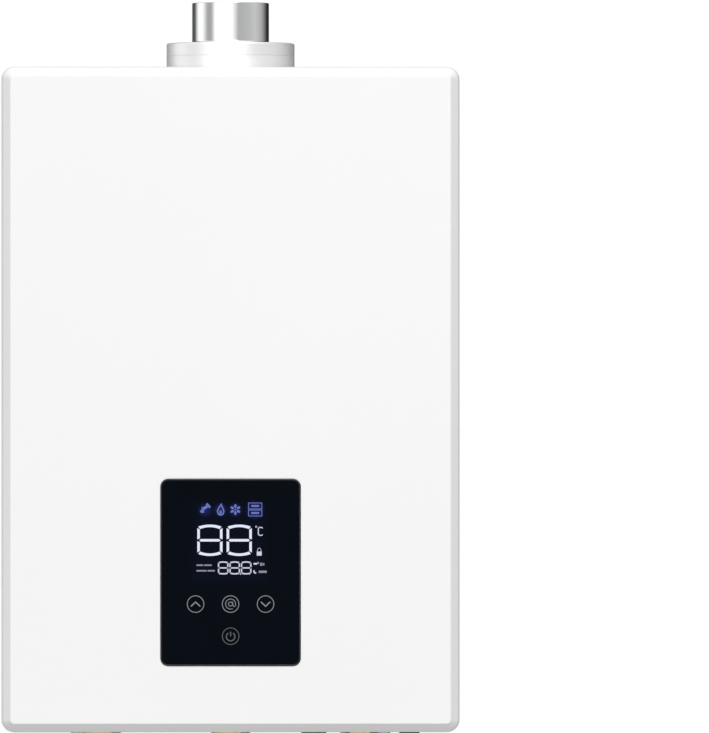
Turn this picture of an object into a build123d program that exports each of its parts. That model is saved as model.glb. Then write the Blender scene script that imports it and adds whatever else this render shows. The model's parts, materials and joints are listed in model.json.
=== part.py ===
from build123d import *
import os

# Wall-hung gas water heater, in millimetres.
# X runs to the right, the front faces -Y and the wall is the plane Y = 0. The origin is the
# middle of the back plate's rear face.

# Casing
case_width = 355.0
case_height = 516.0
case_depth = 145.0
front_bevel = 7.0            # sloped edge round the front face
bevel_round = 5.0            # bend from that slope to the sides
face_corner_radius = 3.0     # corners of the flat front face
cover_wall = 1.2
cover_gap = 0.6              # between the cover and the chassis sheet
cover_back_gap = 1.0         # between the cover's rear edge and the wall
cover_lip = 32.0             # closed strip under the casing, behind the front face
cover_side_strip = 12.0      # closed strips beside the opening underneath
seal_width = 6.0
seal_thick = 4.0
seal_inset = 4.0             # from the cover's inner bend

# Chassis sheet
sheet = 1.2
flange_depth = 28.0          # side flanges of the back plate
panel_flange = 14.0          # folded rear edges of the top and bottom panels
panel_front_gap = 2.0        # between those panels and the cover's bend
air_slot_width = 4.0
air_slot_length = 26.0
air_slot_pitch = 9.0
air_slot_count = 14

# Wall fixing
wall_hole_dia = 7.0
wall_hole_side = 27.5        # from the casing's sides
wall_hole_end = 28.0         # from the casing's top and underside

# Clearances
seat_gap = 0.2               # between a loose piece and its seat
slip = 0.05                  # radial running or slip fit
tube_clear = 0.3             # between pipes and the sheet they pass

# Screws
screw_dia = 4.0
screw_head_dia = 8.0
screw_head = 2.5
screw_bite = 0.9             # depth in the sheet below a screw
cover_screw_side = 57.5      # from the casing's sides
cover_screw_back = 17.0      # from the casing's front face
cover_screw_length = 6.0
chassis_screw_count = 4
chassis_screw_side = 42.5    # outer screws from the casing's sides
motor_screw_head_dia = 6.4

# Control panel
panel_width = 108.5
panel_height = 145.0
panel_corner = 6.2
panel_lift = 124.0           # middle of the panel above the casing's lower edge
bezel_width = 1.2
bezel_proud = 0.5
glass_proud = 0.3
glass_thick = 3.5
holder_rim = 6.0
holder_wall = 2.0
holder_window_margin = 22.0
board_boss = 3.0
board_boss_dia = 6.0
board_thick = 1.6
board_margin = 6.0
display_thick = 4.0

# Flue adapter
collar_room = 22.5           # between the flue collar and the casing's front and rear
collar_length = 43.6
collar_show = 20.0           # above the casing's top
flue_wall = 0.8
bead_radius = 1.5            # rolled rim
bead_lift = 2.5
cap_skirt = 10.0             # overlap of the cap on the collar
seam_gap = 0.2               # hairline joint between cap and collar
pipe_dia = 60.0
pipe_length = 31.5
neck_radius = 2.0            # small hollow flare between shoulder and pipe
flue_clear = 1.5             # casing hole round the rolled rim
flue_gasket_thick = 2.0
flue_gasket_width = 5.0
flue_flange_thick = 2.0
flue_flange_margin = 5.0
flue_ring_height = 12.0
flue_ear_width = 20.0

# Exhaust fan
scroll_radius = 52.0
scroll_width = 40.0
scroll_wall = 1.2
outlet_width = 48.0
fan_drop = 62.0              # fan axis below the flue flange
inlet_radius = 30.0
impeller_radius = 40.0
impeller_side_gap = 5.0
impeller_disc = 1.5
impeller_ring = 6.0
blade_count = 24
blade_thick = 0.8
blade_depth = 9.0
hub_radius = 8.0
hub_length = 14.0
shaft_radius = 3.0
motor_radius = 22.0
motor_length = 24.0
motor_cap = 2.0
motor_plate_radius = 32.0
motor_plate = 2.0
motor_screw_radius = 27.0
motor_screw_count = 4

# Smoke hood, heat exchanger and combustion chamber
hood_gap = 2.0               # under the fan housing
hood_height = 12.0
hood_wall = 1.0
hood_box_width = 84.0
chamber_back = 22.0          # from the wall
chamber_side = 82.5          # beside the chamber, for pipes and boxes
chamber_share = 14 / 29      # chamber's part of the casing's depth
chamber_height = 100.0
copper_wall = 1.0
exchanger_height = 40.0
fin_pitch = 6.0
fin_side = 4.0               # between the end fins and the exchanger's sides
fin_thick = 0.5
fin_margin = 4.0
tube_dia = 12.0
tube_wall = 0.8
tube_count = 4
tube_edge = 3.5              # between the outer tubes and the exchanger's front and rear
bend_out = 11.0              # straight tube beyond the exchanger's sides
riser_out = 20.0             # rising pipe beside the exchanger
outlet_out = 37.0            # falling hot pipe beside the exchanger
bend_radius = 14.0
coil_bend = 12.0
coil_first = 32.0            # lowest turn above the chamber's base
coil_pitch = 22.0
coil_turns = 3
coil_tail = 16.0
bracket_side = 35.0          # from the chamber's sides
bracket_height = 20.0

# Burner and gas parts
burner_height = 55.0
burner_wall = 1.2
bar_pitch = 16.5
bar_side = 4.0               # between the end bars' spacing and the chamber's sides
bar_width = 11.0
bar_round = 2.75
bar_height = 44.0
bar_lift = 4.0
bar_mouth_radius = 4.0
bar_mouth_depth = 24.0
port_count = 14
port_width = 1.2
port_depth = 3.0
manifold_gap = 8.0
manifold_depth = 14.0
manifold_height = 16.0
manifold_lift = 4.0
injector_radius = 2.5
injector_reach = 3.0
manifold_overhang = 6.0
riser_radius = 6.0
electrode_lift = 14.0
electrode_spacing = 18.0
ceramic_radius = 3.2
ceramic_out = 12.0
ceramic_collar = 5.0
ceramic_collar_length = 4.0
tip_radius = 0.9
tip_length = 22.0
sensor_side = 35.0           # flame sensor from the chamber's side
valve_drop = 20.0
valve_side = 56.3            # between the valve and the water pipes' axes
valve_lead = 2.0             # valve's front face before the manifold
valve_back = 48.0            # valve's rear face from the wall
valve_height = 75.0
valve_edge = 3.0
coil_radius = 13.0
coil_length = 36.0
coil_end = 2.0
plunger_radius = 5.25
plunger_length = 26.0

# Connections under the casing
thread_radius = 10.48
thread_bore = 7.0
shank_step = 0.3             # plain shank above the thread, inside the nut
thread_drop = 28.0           # below the casing
connector_flange_radius = 15.0
connector_flange = 4.0
nut_across = 27.0
nut_thick = 6.0
gas_tube_radius = 10.0
gas_tube_bore = 7.5

# Water flow sensor, drain and filter
sensor_radius = 14.0
sensor_bore = 10.0
sensor_length = 60.0
sensor_top = 4.0
filter_wall = 0.8
filter_length = 16.0
spider_thick = 2.0
spider_width = 2.5
turbine_room = 16.0
turbine_lift = 26.0          # lower spider above the connector
turbine_pin = 1.0
turbine_radius = 8.5
turbine_hub = 3.0
turbine_blades = 4
turbine_blade = 1.2
drain_offset = 36.0          # drain axis beside the sensor axis
drain_boss_radius = 9.0
drain_arm_height = 16.0
drain_arm_width = 16.0
drain_radius = 6.0
drain_depth = 14.0
drain_head_radius = 10.0
drain_head = 5.0
drain_wing = 7.0
drain_wing_thick = 4.0

# Electrical parts
box_gap = 8.0                # beside the exchanger's bends
box_width = 40.0
box_depth = 50.0
box_height = 160.0
box_drop = 50.0              # box top below the chamber top
box_wall = 2.0
lid_thick = 2.0
transformer_width = 26.0
transformer_depth = 24.0
transformer_height = 60.0
transformer_side = 6.0       # from the side flange
transformer_lift = 10.0      # above the burner's top
switch_radius = 25.0
switch_thick = 18.0
switch_foot = 9.0
switch_offset = 100.0
nipple_radius = 2.25
nipple_length = 8.0
hose_wall = 1.7
hose_bend = 20.0
harness_radius = 3.0
harness_bend = 14.0
harness_back = 28.0
harness_drop = 100.0
gland_radius = 8.0
gland_bore = 3.5
gland_flange = 3.0
gland_flange_radius = 11.5
gland_drop = 8.0
stat_radius = 9.0
stat_thick = 8.0
stat_cap_radius = 5.4
stat_side = 35.0             # from the chamber's side
clip_radius = 9.0
clip_height = 10.0
probe_radius = 3.0
probe_length = 14.0
probe_lift = 26.0

# Places worked out from the sizes above
half_width = case_width / 2
half_height = case_height / 2
corner_radius = front_bevel + face_corner_radius
inner_front = -(case_depth - cover_wall)
chassis_half_width = half_width - cover_wall - cover_gap
chassis_half_height = half_height - cover_wall - cover_gap
chassis_corner = corner_radius - cover_wall - cover_gap
panel_half_width = chassis_half_width - chassis_corner
panel_front = inner_front + front_bevel + panel_front_gap
panel_under = chassis_half_height - sheet
floor_top = sheet - chassis_half_height
screw_radius = screw_dia / 2
wall_hole_x = half_width - wall_hole_side
wall_hole_z = half_height - wall_hole_end
cover_screw_x = half_width - cover_screw_side
chassis_screw_x = half_width - chassis_screw_side
cover_screw_y = cover_screw_back - case_depth
panel_z = panel_lift - half_height
glass_back = glass_thick - case_depth - glass_proud
holder_back = glass_back + holder_wall
board_front = holder_back + board_boss
flue_y = -case_depth / 2
cap_radius = case_depth / 2 - collar_room
collar_radius = cap_radius - flue_wall - slip
collar_bore = collar_radius - flue_wall
shoulder_z = half_height + collar_show
collar_base = shoulder_z - collar_length
pipe_radius = pipe_dia / 2
flue_hole_radius = cap_radius + bead_radius + flue_clear
gasket_base = collar_base - seat_gap - flue_gasket_thick
gasket_radius = collar_bore + flue_gasket_width
flange_base = gasket_base - flue_flange_thick
flange_half = gasket_radius + flue_flange_margin
fan_x = scroll_radius - outlet_width / 2
fan_z = flange_base - fan_drop
scroll_front = flue_y - scroll_width / 2
scroll_back = flue_y + scroll_width / 2
impeller_front = scroll_front + scroll_wall + impeller_side_gap
impeller_back = scroll_back - scroll_wall - impeller_side_gap
hood_top = fan_z - scroll_radius - hood_gap
exchanger_top = hood_top - hood_height
chamber_top = exchanger_top - exchanger_height
burner_top = chamber_top - chamber_height
burner_base = burner_top - burner_height
chamber_half = half_width - chamber_side
chamber_width = 2 * chamber_half
chamber_depth = case_depth * chamber_share
chamber_rear = -chamber_back
chamber_front = -(chamber_back + chamber_depth)
chamber_y = (chamber_rear + chamber_front) / 2
tube_radius = tube_dia / 2
tube_z = (exchanger_top + chamber_top) / 2
tube_pitch = (chamber_depth - tube_dia - 2 * tube_edge) / (tube_count - 1)
fin_count = int((chamber_width - 2 * fin_side) / fin_pitch)
bar_count = int((chamber_width - 2 * bar_side) / bar_pitch)
bracket_half = chamber_half - bracket_side
sensor_x = chamber_half - sensor_side
stat_x = stat_side - chamber_half
tube_first_y = chamber_y + tube_pitch * (tube_count - 1) / 2
tube_last_y = chamber_y - tube_pitch * (tube_count - 1) / 2
bend_x = chamber_half + bend_out
riser_x = chamber_half + riser_out
outlet_x = chamber_half + outlet_out
coil_x = chamber_half + tube_radius + tube_clear
coil_front = chamber_front - tube_radius - tube_clear
coil_rear = chamber_rear + tube_radius + tube_clear
coil_z = burner_top + coil_first
coil_start = coil_z - coil_tail
chamber_corner = coil_bend - tube_radius - tube_clear
coil_finish = chamber_top + seat_gap
manifold_back = chamber_front - manifold_gap
manifold_front = manifold_back - manifold_depth
manifold_base = burner_base + manifold_lift
manifold_half = bar_pitch * (bar_count - 1) / 2 + manifold_overhang
manifold_z = manifold_base + manifold_height / 2
manifold_y = (manifold_front + manifold_back) / 2
valve_top = burner_base - valve_drop
valve_base = valve_top - valve_height
valve_half = coil_x - valve_side
valve_front = manifold_front - valve_lead
valve_rear = -valve_back
valve_z = (valve_top + valve_base) / 2
valve_y = (valve_rear + valve_front) / 2
connector_top = floor_top + connector_flange
shank_radius = thread_radius + shank_step
nut_base = -chassis_half_height - nut_thick
connector_end = -half_height - thread_drop
sensor_end = connector_top + sensor_length
drain_x = coil_x - drain_offset
box_x = bend_x + tube_radius + box_gap
box_top = chamber_top - box_drop
box_base = box_top - box_height
box_front = -(sheet + box_depth)
switch_front = -(sheet + switch_foot + switch_thick)
hose_radius = nipple_radius + slip + hose_wall
tap_z = (fan_z + flange_base) / 2
tap_x = -outlet_width / 2 - nipple_length
gland_x = box_x + box_width / 2
electrode_z = burner_top + electrode_lift
spider_base = connector_top + turbine_lift


# Shared shapes

def block(x0, x1, y0, y1, z0, z1):
    middle = Pos((x0 + x1) / 2, (y0 + y1) / 2, (z0 + z1) / 2)
    return middle * Box(x1 - x0, y1 - y0, z1 - z0)


def rod(start, direction, length, radius):
    seat = Plane(origin=start, z_dir=direction)
    return seat * Cylinder(radius, length, align=(Align.CENTER, Align.CENTER, Align.MIN))


def tube(start, direction, length, radius, bore):
    return rod(start, direction, length, radius) - rod(start, direction, length, bore)


def pipe(points, bend, radius, bore):
    route = FilletPolyline(*points, radius=bend)
    mouth = Plane(origin=route @ 0, z_dir=route % 0)
    section = mouth * (Circle(radius) - Circle(bore))
    return sweep(section, path=route)


def front_plate(width, height, corner, y0, y1, z):
    face = Plane(origin=(0, y1, z), x_dir=(1, 0, 0), z_dir=(0, -1, 0))
    return extrude(face * RectangleRounded(width, height, corner), y1 - y0)


def group(shapes):
    solids = []
    for shape in shapes:
        solids.extend(shape.solids())
    return Compound(solids)


def spread(count, pitch):
    return [(index - (count - 1) / 2) * pitch for index in range(count)]


# Casing

def casing_block(inset, rear):
    body = block(inset - half_width, half_width - inset, inset - case_depth, rear,
                 inset - half_height, half_height - inset)
    body = fillet(body.edges().filter_by(Axis.Y), corner_radius - inset)
    rim = body.faces().sort_by(Axis.Y)[0].edges()
    body = chamfer(rim, front_bevel - inset * (2 - 2 ** 0.5))
    # edge loops from the front: face, slope corners, side
    side_rim = body.edges().group_by(Axis.Y)[2]
    return fillet(side_rim, bevel_round - inset)


def make_front_cover():
    cover = casing_block(0, -cover_back_gap) - casing_block(cover_wall, cover_wall)
    top = half_height + cover_wall
    under = half_height - 2 * cover_wall
    cover -= block(-flue_hole_radius, flue_hole_radius, flue_y, 0, under, top)
    cover -= rod((0, flue_y, under), (0, 0, 1), top - under, flue_hole_radius)
    opening = half_width - cover_side_strip
    cover -= block(-opening, opening, cover_lip - case_depth, 0, -top, -under)
    hole = 2 * seat_gap
    cover -= front_plate(panel_width + hole, panel_height + hole, panel_corner + seat_gap,
                         -case_depth - cover_wall, inner_front + cover_wall, panel_z)
    for x in (-cover_screw_x, cover_screw_x):
        cover -= rod((x, cover_screw_y, -top), (0, 0, 1), top - under, screw_radius + slip)
    return cover


def make_cover_seal():
    inset = corner_radius + seal_inset
    outer = block(inset - half_width, half_width - inset, inner_front, inner_front + seal_thick,
                  inset - half_height, half_height - inset)
    inset += seal_width
    inner = block(inset - half_width, half_width - inset, inner_front, inner_front + seal_thick,
                  inset - half_height, half_height - inset)
    return outer - inner


def make_cover_screws():
    screws = []
    for x in (-cover_screw_x, cover_screw_x):
        shank = rod((x, cover_screw_y, -half_height), (0, 0, 1), cover_screw_length, screw_radius)
        head = rod((x, cover_screw_y, -half_height), (0, 0, -1), screw_head, screw_head_dia / 2)
        screws.append(shank + head)
    return group(screws)


# Control panel in the cover

def make_panel_bezel():
    front = -case_depth - bezel_proud
    ring = front_plate(panel_width, panel_height, panel_corner, front, glass_back, panel_z)
    ring -= front_plate(panel_width - 2 * bezel_width, panel_height - 2 * bezel_width,
                        panel_corner - bezel_width, front, glass_back, panel_z)
    return ring


def make_glass_panel():
    inset = 2 * (bezel_width + slip)
    return front_plate(panel_width - inset, panel_height - inset, panel_corner - inset / 2,
                       -case_depth - glass_proud, glass_back, panel_z)


def make_panel_holder():
    wide = panel_width + 2 * holder_rim
    high = panel_height + 2 * holder_rim
    corner = panel_corner + holder_rim
    holder = front_plate(wide, high, corner, inner_front, holder_back, panel_z)
    room = 2 * seat_gap
    holder -= front_plate(panel_width + room, panel_height + room, panel_corner + seat_gap,
                          inner_front, glass_back, panel_z)
    margin = 2 * holder_window_margin
    holder -= front_plate(panel_width - margin, panel_height - margin, panel_corner,
                          glass_back, holder_back, panel_z)
    reach = board_margin + board_boss_dia
    for x in spread(2, panel_width - 2 * reach):
        for z in spread(2, panel_height - 2 * reach):
            holder += rod((x, holder_back, panel_z + z), (0, 1, 0), board_boss, board_boss_dia / 2)
    return holder


def make_display_board():
    inset = 2 * board_margin
    board = front_plate(panel_width - inset, panel_height - inset, panel_corner,
                        board_front, board_front + board_thick, panel_z)
    margin = 2 * (holder_window_margin + board_boss)
    board += front_plate(panel_width - margin, panel_height - margin, panel_corner,
                         board_front - display_thick, board_front, panel_z)
    return board


# Chassis

def make_back_plate():
    plate = block(-chassis_half_width, chassis_half_width, -sheet, 0,
                  -chassis_half_height, chassis_half_height)
    plate = fillet(plate.edges().filter_by(Axis.Y), chassis_corner)
    reach = chassis_half_height - chassis_corner
    for side in (-1, 1):
        outer = side * chassis_half_width
        inner = outer - side * sheet
        plate += block(min(outer, inner), max(outer, inner), -flange_depth, -sheet, -reach, reach)
    for x in (-wall_hole_x, wall_hole_x):
        for z in (-wall_hole_z, wall_hole_z):
            plate -= rod((x, 0, z), (0, -1, 0), sheet, wall_hole_dia / 2)
    for x, z in chassis_screw_places():
        plate -= rod((x, -sheet, z), (0, 1, 0), screw_bite, screw_radius + slip)
    return plate


def chassis_screw_places():
    z = chassis_half_height - sheet - panel_flange / 2
    pitch = 2 * chassis_screw_x / (chassis_screw_count - 1)
    return [(x, side * z) for side in (-1, 1) for x in spread(chassis_screw_count, pitch)]


def make_top_panel():
    panel = block(-panel_half_width, panel_half_width, panel_front, -sheet,
                  panel_under, chassis_half_height)
    panel += block(-panel_half_width, panel_half_width, -2 * sheet, -sheet,
                   panel_under - panel_flange, panel_under)
    panel -= rod((0, flue_y, panel_under), (0, 0, 1), sheet, flue_hole_radius)
    for x, z in chassis_screw_places():
        if z > 0:
            panel -= rod((x, -2 * sheet, z), (0, 1, 0), sheet, screw_radius + slip)
    return panel


def make_bottom_panel():
    base = -chassis_half_height
    panel = block(-panel_half_width, panel_half_width, panel_front, -sheet, base, floor_top)
    panel += block(-panel_half_width, panel_half_width, -2 * sheet, -sheet,
                   floor_top, floor_top + panel_flange)
    for x in (-coil_x, 0, coil_x):
        panel -= rod((x, chamber_y, base), (0, 0, 1), sheet, shank_radius + tube_clear)
    panel -= rod((drain_x, chamber_y, base), (0, 0, 1), sheet, drain_radius + tube_clear)
    panel -= rod((gland_x, chamber_y, base), (0, 0, 1), sheet, gland_radius + slip)
    for x in (-cover_screw_x, cover_screw_x):
        slot = screw_radius + tube_clear
        panel -= block(x - slot, x + slot, panel_front, cover_screw_y + slot, base, floor_top)
    slot_y = chamber_y - connector_flange_radius - air_slot_length
    panel -= [block(x - air_slot_width / 2, x + air_slot_width / 2, slot_y,
                    slot_y + air_slot_length, base, floor_top)
              for x in spread(air_slot_count, air_slot_pitch)]
    for x, z in chassis_screw_places():
        if z < 0:
            panel -= rod((x, -2 * sheet, z), (0, 1, 0), sheet, screw_radius + slip)
    return panel


def make_chassis_screws():
    screws = []
    for x, z in chassis_screw_places():
        shank = rod((x, -2 * sheet, z), (0, 1, 0), sheet + screw_bite, screw_radius)
        head = rod((x, -2 * sheet, z), (0, -1, 0), screw_head, screw_head_dia / 2)
        screws.append(shank + head)
    return group(screws)


# Flue adapter and its seat

def make_flue_collar():
    height = collar_length - flue_wall
    full = collar_length - cap_skirt - seam_gap
    collar = rod((0, flue_y, collar_base), (0, 0, 1), height, collar_radius)
    collar += rod((0, flue_y, collar_base), (0, 0, 1), full, cap_radius)
    collar += Pos(0, flue_y, collar_base + bead_lift) * Torus(cap_radius, bead_radius)
    return collar - rod((0, flue_y, collar_base), (0, 0, 1), height, collar_bore)


def make_flue_spigot():
    top = shoulder_z + pipe_length
    under = shoulder_z - flue_wall
    inner = pipe_radius - flue_wall
    flare = pipe_radius + neck_radius
    skirt = shoulder_z - cap_skirt
    with BuildSketch(Plane.XZ) as profile:
        with BuildLine():
            Line((collar_radius + slip, skirt), (cap_radius, skirt))
            Line((cap_radius, skirt), (cap_radius, shoulder_z))
            Line((cap_radius, shoulder_z), (flare, shoulder_z))
            RadiusArc((flare, shoulder_z), (pipe_radius, shoulder_z + neck_radius), neck_radius)
            Line((pipe_radius, shoulder_z + neck_radius), (pipe_radius, top))
            Line((pipe_radius, top), (inner, top))
            Line((inner, top), (inner, shoulder_z + neck_radius))
            RadiusArc((inner, shoulder_z + neck_radius), (flare, under), -(neck_radius + flue_wall))
            Line((flare, under), (collar_radius + slip, under))
            Line((collar_radius + slip, under), (collar_radius + slip, skirt))
        make_face()
    return Pos(0, flue_y, 0) * revolve(profile.sketch, axis=Axis.Z)


def make_flue_flange():
    flange = block(-flange_half, flange_half, flue_y - flange_half, flue_y + flange_half,
                   flange_base, gasket_base)
    ring = collar_bore - seat_gap
    flange += tube((0, flue_y, gasket_base), (0, 0, 1), flue_ring_height, ring, ring - sheet)
    gap = outlet_width / 2 - scroll_wall
    reach = scroll_width / 2 - scroll_wall
    flange -= block(-gap, gap, flue_y - reach, flue_y + reach, flange_base, gasket_base)
    for side in (-1, 1):
        outer = side * flange_half
        inner = outer - side * sheet
        flange += block(min(outer, inner), max(outer, inner), flue_y - flue_ear_width / 2,
                        flue_y + flue_ear_width / 2, gasket_base, panel_under)
    return flange


def make_flue_gasket():
    return tube((0, flue_y, gasket_base), (0, 0, 1), flue_gasket_thick, gasket_radius, collar_bore)


# Exhaust fan

def scroll_block(inset):
    front = scroll_front + inset
    width = scroll_width - 2 * inset
    half = outlet_width / 2 - inset
    body = rod((fan_x, front, fan_z), (0, 1, 0), width, scroll_radius - inset)
    return body + block(-half, half, front, front + width, fan_z, flange_base)


def make_fan_housing():
    housing = scroll_block(0) - scroll_block(scroll_wall)
    housing -= rod((fan_x, scroll_back, fan_z), (0, -1, 0), scroll_wall, inlet_radius)
    housing -= rod((fan_x, scroll_front, fan_z), (0, 1, 0), scroll_wall, shaft_radius + tube_clear)
    nipple = rod((-outlet_width / 2, flue_y, tap_z), (-1, 0, 0), nipple_length, nipple_radius)
    housing += nipple
    for x, z in motor_screw_places():
        housing -= rod((x, scroll_front, z), (0, 1, 0), screw_bite, screw_radius + slip)
    return housing


def motor_screw_places():
    ring = PolarLocations(motor_screw_radius, motor_screw_count, start_angle=45)
    return [(fan_x + place.position.X, fan_z + place.position.Y) for place in ring]


def make_fan_motor():
    face = scroll_front - motor_plate
    motor = rod((fan_x, scroll_front, fan_z), (0, -1, 0), motor_plate, motor_plate_radius)
    motor += rod((fan_x, face, fan_z), (0, -1, 0), motor_length, motor_radius)
    bore = motor_plate + motor_length - motor_cap
    motor -= rod((fan_x, scroll_front, fan_z), (0, -1, 0), bore, shaft_radius + slip)
    for x, z in motor_screw_places():
        motor -= rod((x, scroll_front, z), (0, -1, 0), motor_plate, screw_radius + slip)
    return motor


def make_motor_screws():
    face = scroll_front - motor_plate
    screws = []
    for x, z in motor_screw_places():
        shank = rod((x, face, z), (0, 1, 0), motor_plate + screw_bite, screw_radius)
        screws.append(shank + rod((x, face, z), (0, -1, 0), screw_head, motor_screw_head_dia / 2))
    return group(screws)


def make_fan_shaft():
    start = scroll_front - motor_plate - motor_length + motor_cap + seat_gap
    return rod((fan_x, start, fan_z), (0, 1, 0), impeller_front + hub_length - start, shaft_radius)


def make_fan_impeller():
    width = impeller_back - impeller_front
    wheel = rod((fan_x, impeller_front, fan_z), (0, 1, 0), impeller_disc, impeller_radius)
    wheel += rod((fan_x, impeller_front, fan_z), (0, 1, 0), hub_length, hub_radius)
    rim = impeller_radius - blade_depth
    wheel += tube((fan_x, impeller_back - impeller_ring / 2, fan_z), (0, 1, 0), impeller_ring / 2,
                  impeller_radius, rim)
    blade = block(rim + blade_thick, impeller_radius - blade_thick, impeller_disc / 2,
                  width - impeller_ring / 4, -blade_thick / 2, blade_thick / 2)
    place = Pos(fan_x, impeller_front, fan_z)
    blades = [place * Rot(0, index * 360 / blade_count, 0) * blade for index in range(blade_count)]
    wheel += blades
    return wheel - rod((fan_x, impeller_front, fan_z), (0, 1, 0), hub_length, shaft_radius + slip)


def make_smoke_hood():
    left = fan_x - hood_box_width / 2
    right = fan_x + hood_box_width / 2
    top = fan_z + inlet_radius + hood_height
    hood = block(-chamber_half, chamber_half, chamber_front, chamber_rear, exchanger_top, hood_top)
    hood += block(left, right, scroll_back, chamber_rear, exchanger_top, top)
    wall = hood_wall
    hood -= block(wall - chamber_half, chamber_half - wall, chamber_front + wall, chamber_rear - wall,
                  exchanger_top, hood_top - wall)
    hood -= block(left + wall, right - wall, scroll_back + wall, chamber_rear - wall,
                  exchanger_top, top - wall)
    return hood - rod((fan_x, scroll_back, fan_z), (0, 1, 0), wall, inlet_radius)


# Heat exchanger and combustion chamber

def tube_rows():
    return [chamber_y + y for y in spread(tube_count, tube_pitch)]


def make_exchanger_shell():
    shell = block(-chamber_half, chamber_half, chamber_front, chamber_rear, chamber_top, exchanger_top)
    wall = copper_wall
    shell -= block(wall - chamber_half, chamber_half - wall, chamber_front + wall, chamber_rear - wall,
                   chamber_top, exchanger_top)
    holes = [rod((-chamber_half, y, tube_z), (1, 0, 0), chamber_width, tube_radius + slip)
             for y in tube_rows()]
    return shell - holes


def make_exchanger_fins():
    inset = copper_wall + seat_gap
    fin = block(-fin_thick / 2, fin_thick / 2, chamber_front + inset, chamber_rear - inset,
                chamber_top + fin_margin, exchanger_top - fin_margin)
    holes = [rod((-fin_thick, y, tube_z), (1, 0, 0), 2 * fin_thick, tube_radius + slip)
             for y in tube_rows()]
    fin -= holes
    return group([Pos(x, 0, 0) * fin for x in spread(fin_count, fin_pitch)])


def make_exchanger_tubes():
    points = [(-riser_x, tube_first_y, coil_finish), (-riser_x, tube_first_y, tube_z)]
    bends = [bend_radius]
    side = 1
    turn = tube_pitch / 2 - slip
    for index in range(tube_count - 1):
        near = tube_first_y - index * tube_pitch
        points.append((side * bend_x, near, tube_z))
        points.append((side * bend_x, near - tube_pitch, tube_z))
        bends += [turn, turn]
        side = -side
    points.append((-outlet_x, tube_last_y, tube_z))
    points.append((-outlet_x, tube_last_y, coil_finish))
    bends.append(bend_radius)
    return pipe(points, bends, tube_radius, tube_radius - tube_wall)


def make_combustion_chamber():
    outer = block(-chamber_half, chamber_half, chamber_front, chamber_rear, burner_top, chamber_top)
    wall = copper_wall
    inner = block(wall - chamber_half, chamber_half - wall, chamber_front + wall, chamber_rear - wall,
                  burner_top, chamber_top)
    chamber = fillet(outer.edges().filter_by(Axis.Z), chamber_corner)
    chamber -= fillet(inner.edges().filter_by(Axis.Z), chamber_corner - wall)
    for x in electrode_places() + [sensor_x]:
        chamber -= rod((x, chamber_front, electrode_z), (0, 1, 0), copper_wall, ceramic_radius + slip)
    return chamber


def make_water_coil():
    points = [(coil_x, chamber_y, coil_start), (coil_x, chamber_y, coil_z)]
    for turn in range(coil_turns):
        z = coil_z + turn * coil_pitch
        points.append((coil_x, coil_front, z))
        if turn == coil_turns - 1:
            points.append((-riser_x, coil_front, z))
            points.append((-riser_x, tube_first_y, z))
        else:
            points.append((-coil_x, coil_front, z))
            points.append((-coil_x, coil_rear, z))
            points.append((coil_x, coil_rear, z + coil_pitch))
    points.append((-riser_x, tube_first_y, coil_finish))
    return pipe(points, coil_bend, tube_radius, tube_radius - tube_wall)


def make_chamber_brackets():
    brackets = []
    for z in (tube_z, burner_base + burner_height / 2):
        outer = block(-bracket_half, bracket_half, chamber_rear, -sheet,
                      z - bracket_height / 2, z + bracket_height / 2)
        inner = block(sheet - bracket_half, bracket_half - sheet, chamber_rear + sheet,
                      -2 * sheet, z - bracket_height / 2, z + bracket_height / 2)
        brackets.append(outer - inner)
    return group(brackets)


# Burner and gas parts

def make_burner_frame():
    frame = block(-chamber_half, chamber_half, chamber_front, chamber_rear, burner_base, burner_top)
    wall = burner_wall
    frame -= block(wall - chamber_half, chamber_half - wall, chamber_front + wall,
                   chamber_rear - wall, burner_base, burner_top)
    half = manifold_half - manifold_overhang + bar_mouth_radius
    return frame - block(-half, half, chamber_front, chamber_front + wall,
                         manifold_z - bar_mouth_radius, manifold_z + bar_mouth_radius)


def make_burner_bars():
    front = chamber_front + burner_wall
    rear = chamber_rear - burner_wall
    base = burner_base + bar_lift
    top = base + bar_height
    bar = block(-bar_width / 2, bar_width / 2, front, rear, base, top)
    bar = fillet(bar.edges().filter_by(Axis.Y).group_by(Axis.Z)[-1], bar_round)
    bar -= rod((0, front, manifold_z), (0, 1, 0), bar_mouth_depth, bar_mouth_radius)
    pitch = (rear - front) / (port_count + 1)
    ports = [block(-bar_width, bar_width, front + pitch * (index + 1) - port_width / 2,
                   front + pitch * (index + 1) + port_width / 2, top - port_depth, top)
             for index in range(port_count)]
    bar -= ports
    return group([Pos(x, 0, 0) * bar for x in spread(bar_count, bar_pitch)])


def make_gas_manifold():
    manifold = block(-manifold_half, manifold_half, manifold_front, manifold_back,
                     manifold_base, manifold_base + manifold_height)
    riser = rod((0, manifold_y, valve_top), (0, 0, 1), manifold_base - valve_top, riser_radius)
    return manifold + riser


def make_gas_injectors():
    length = manifold_gap + injector_reach
    return group([rod((x, manifold_back, manifold_z), (0, 1, 0), length, injector_radius)
                  for x in spread(bar_count, bar_pitch)])


def electrode_places():
    return spread(2, electrode_spacing)


def electrode(x):
    body = rod((x, chamber_front - ceramic_out, electrode_z), (0, 1, 0),
               ceramic_out + ceramic_collar_length, ceramic_radius)
    body += rod((x, chamber_front - ceramic_collar_length, electrode_z), (0, 1, 0),
                ceramic_collar_length, ceramic_collar)
    return body + rod((x, chamber_front + ceramic_collar_length, electrode_z), (0, 1, 0),
                      tip_length, tip_radius)


def make_ignition_electrodes():
    return group([electrode(x) for x in electrode_places()])


def make_flame_sensor():
    return electrode(sensor_x)


def make_gas_valve_body():
    body = block(-valve_half, valve_half, valve_front, valve_rear, valve_base, valve_top)
    return fillet(body.edges().filter_by(Axis.Z), valve_edge)


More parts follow.
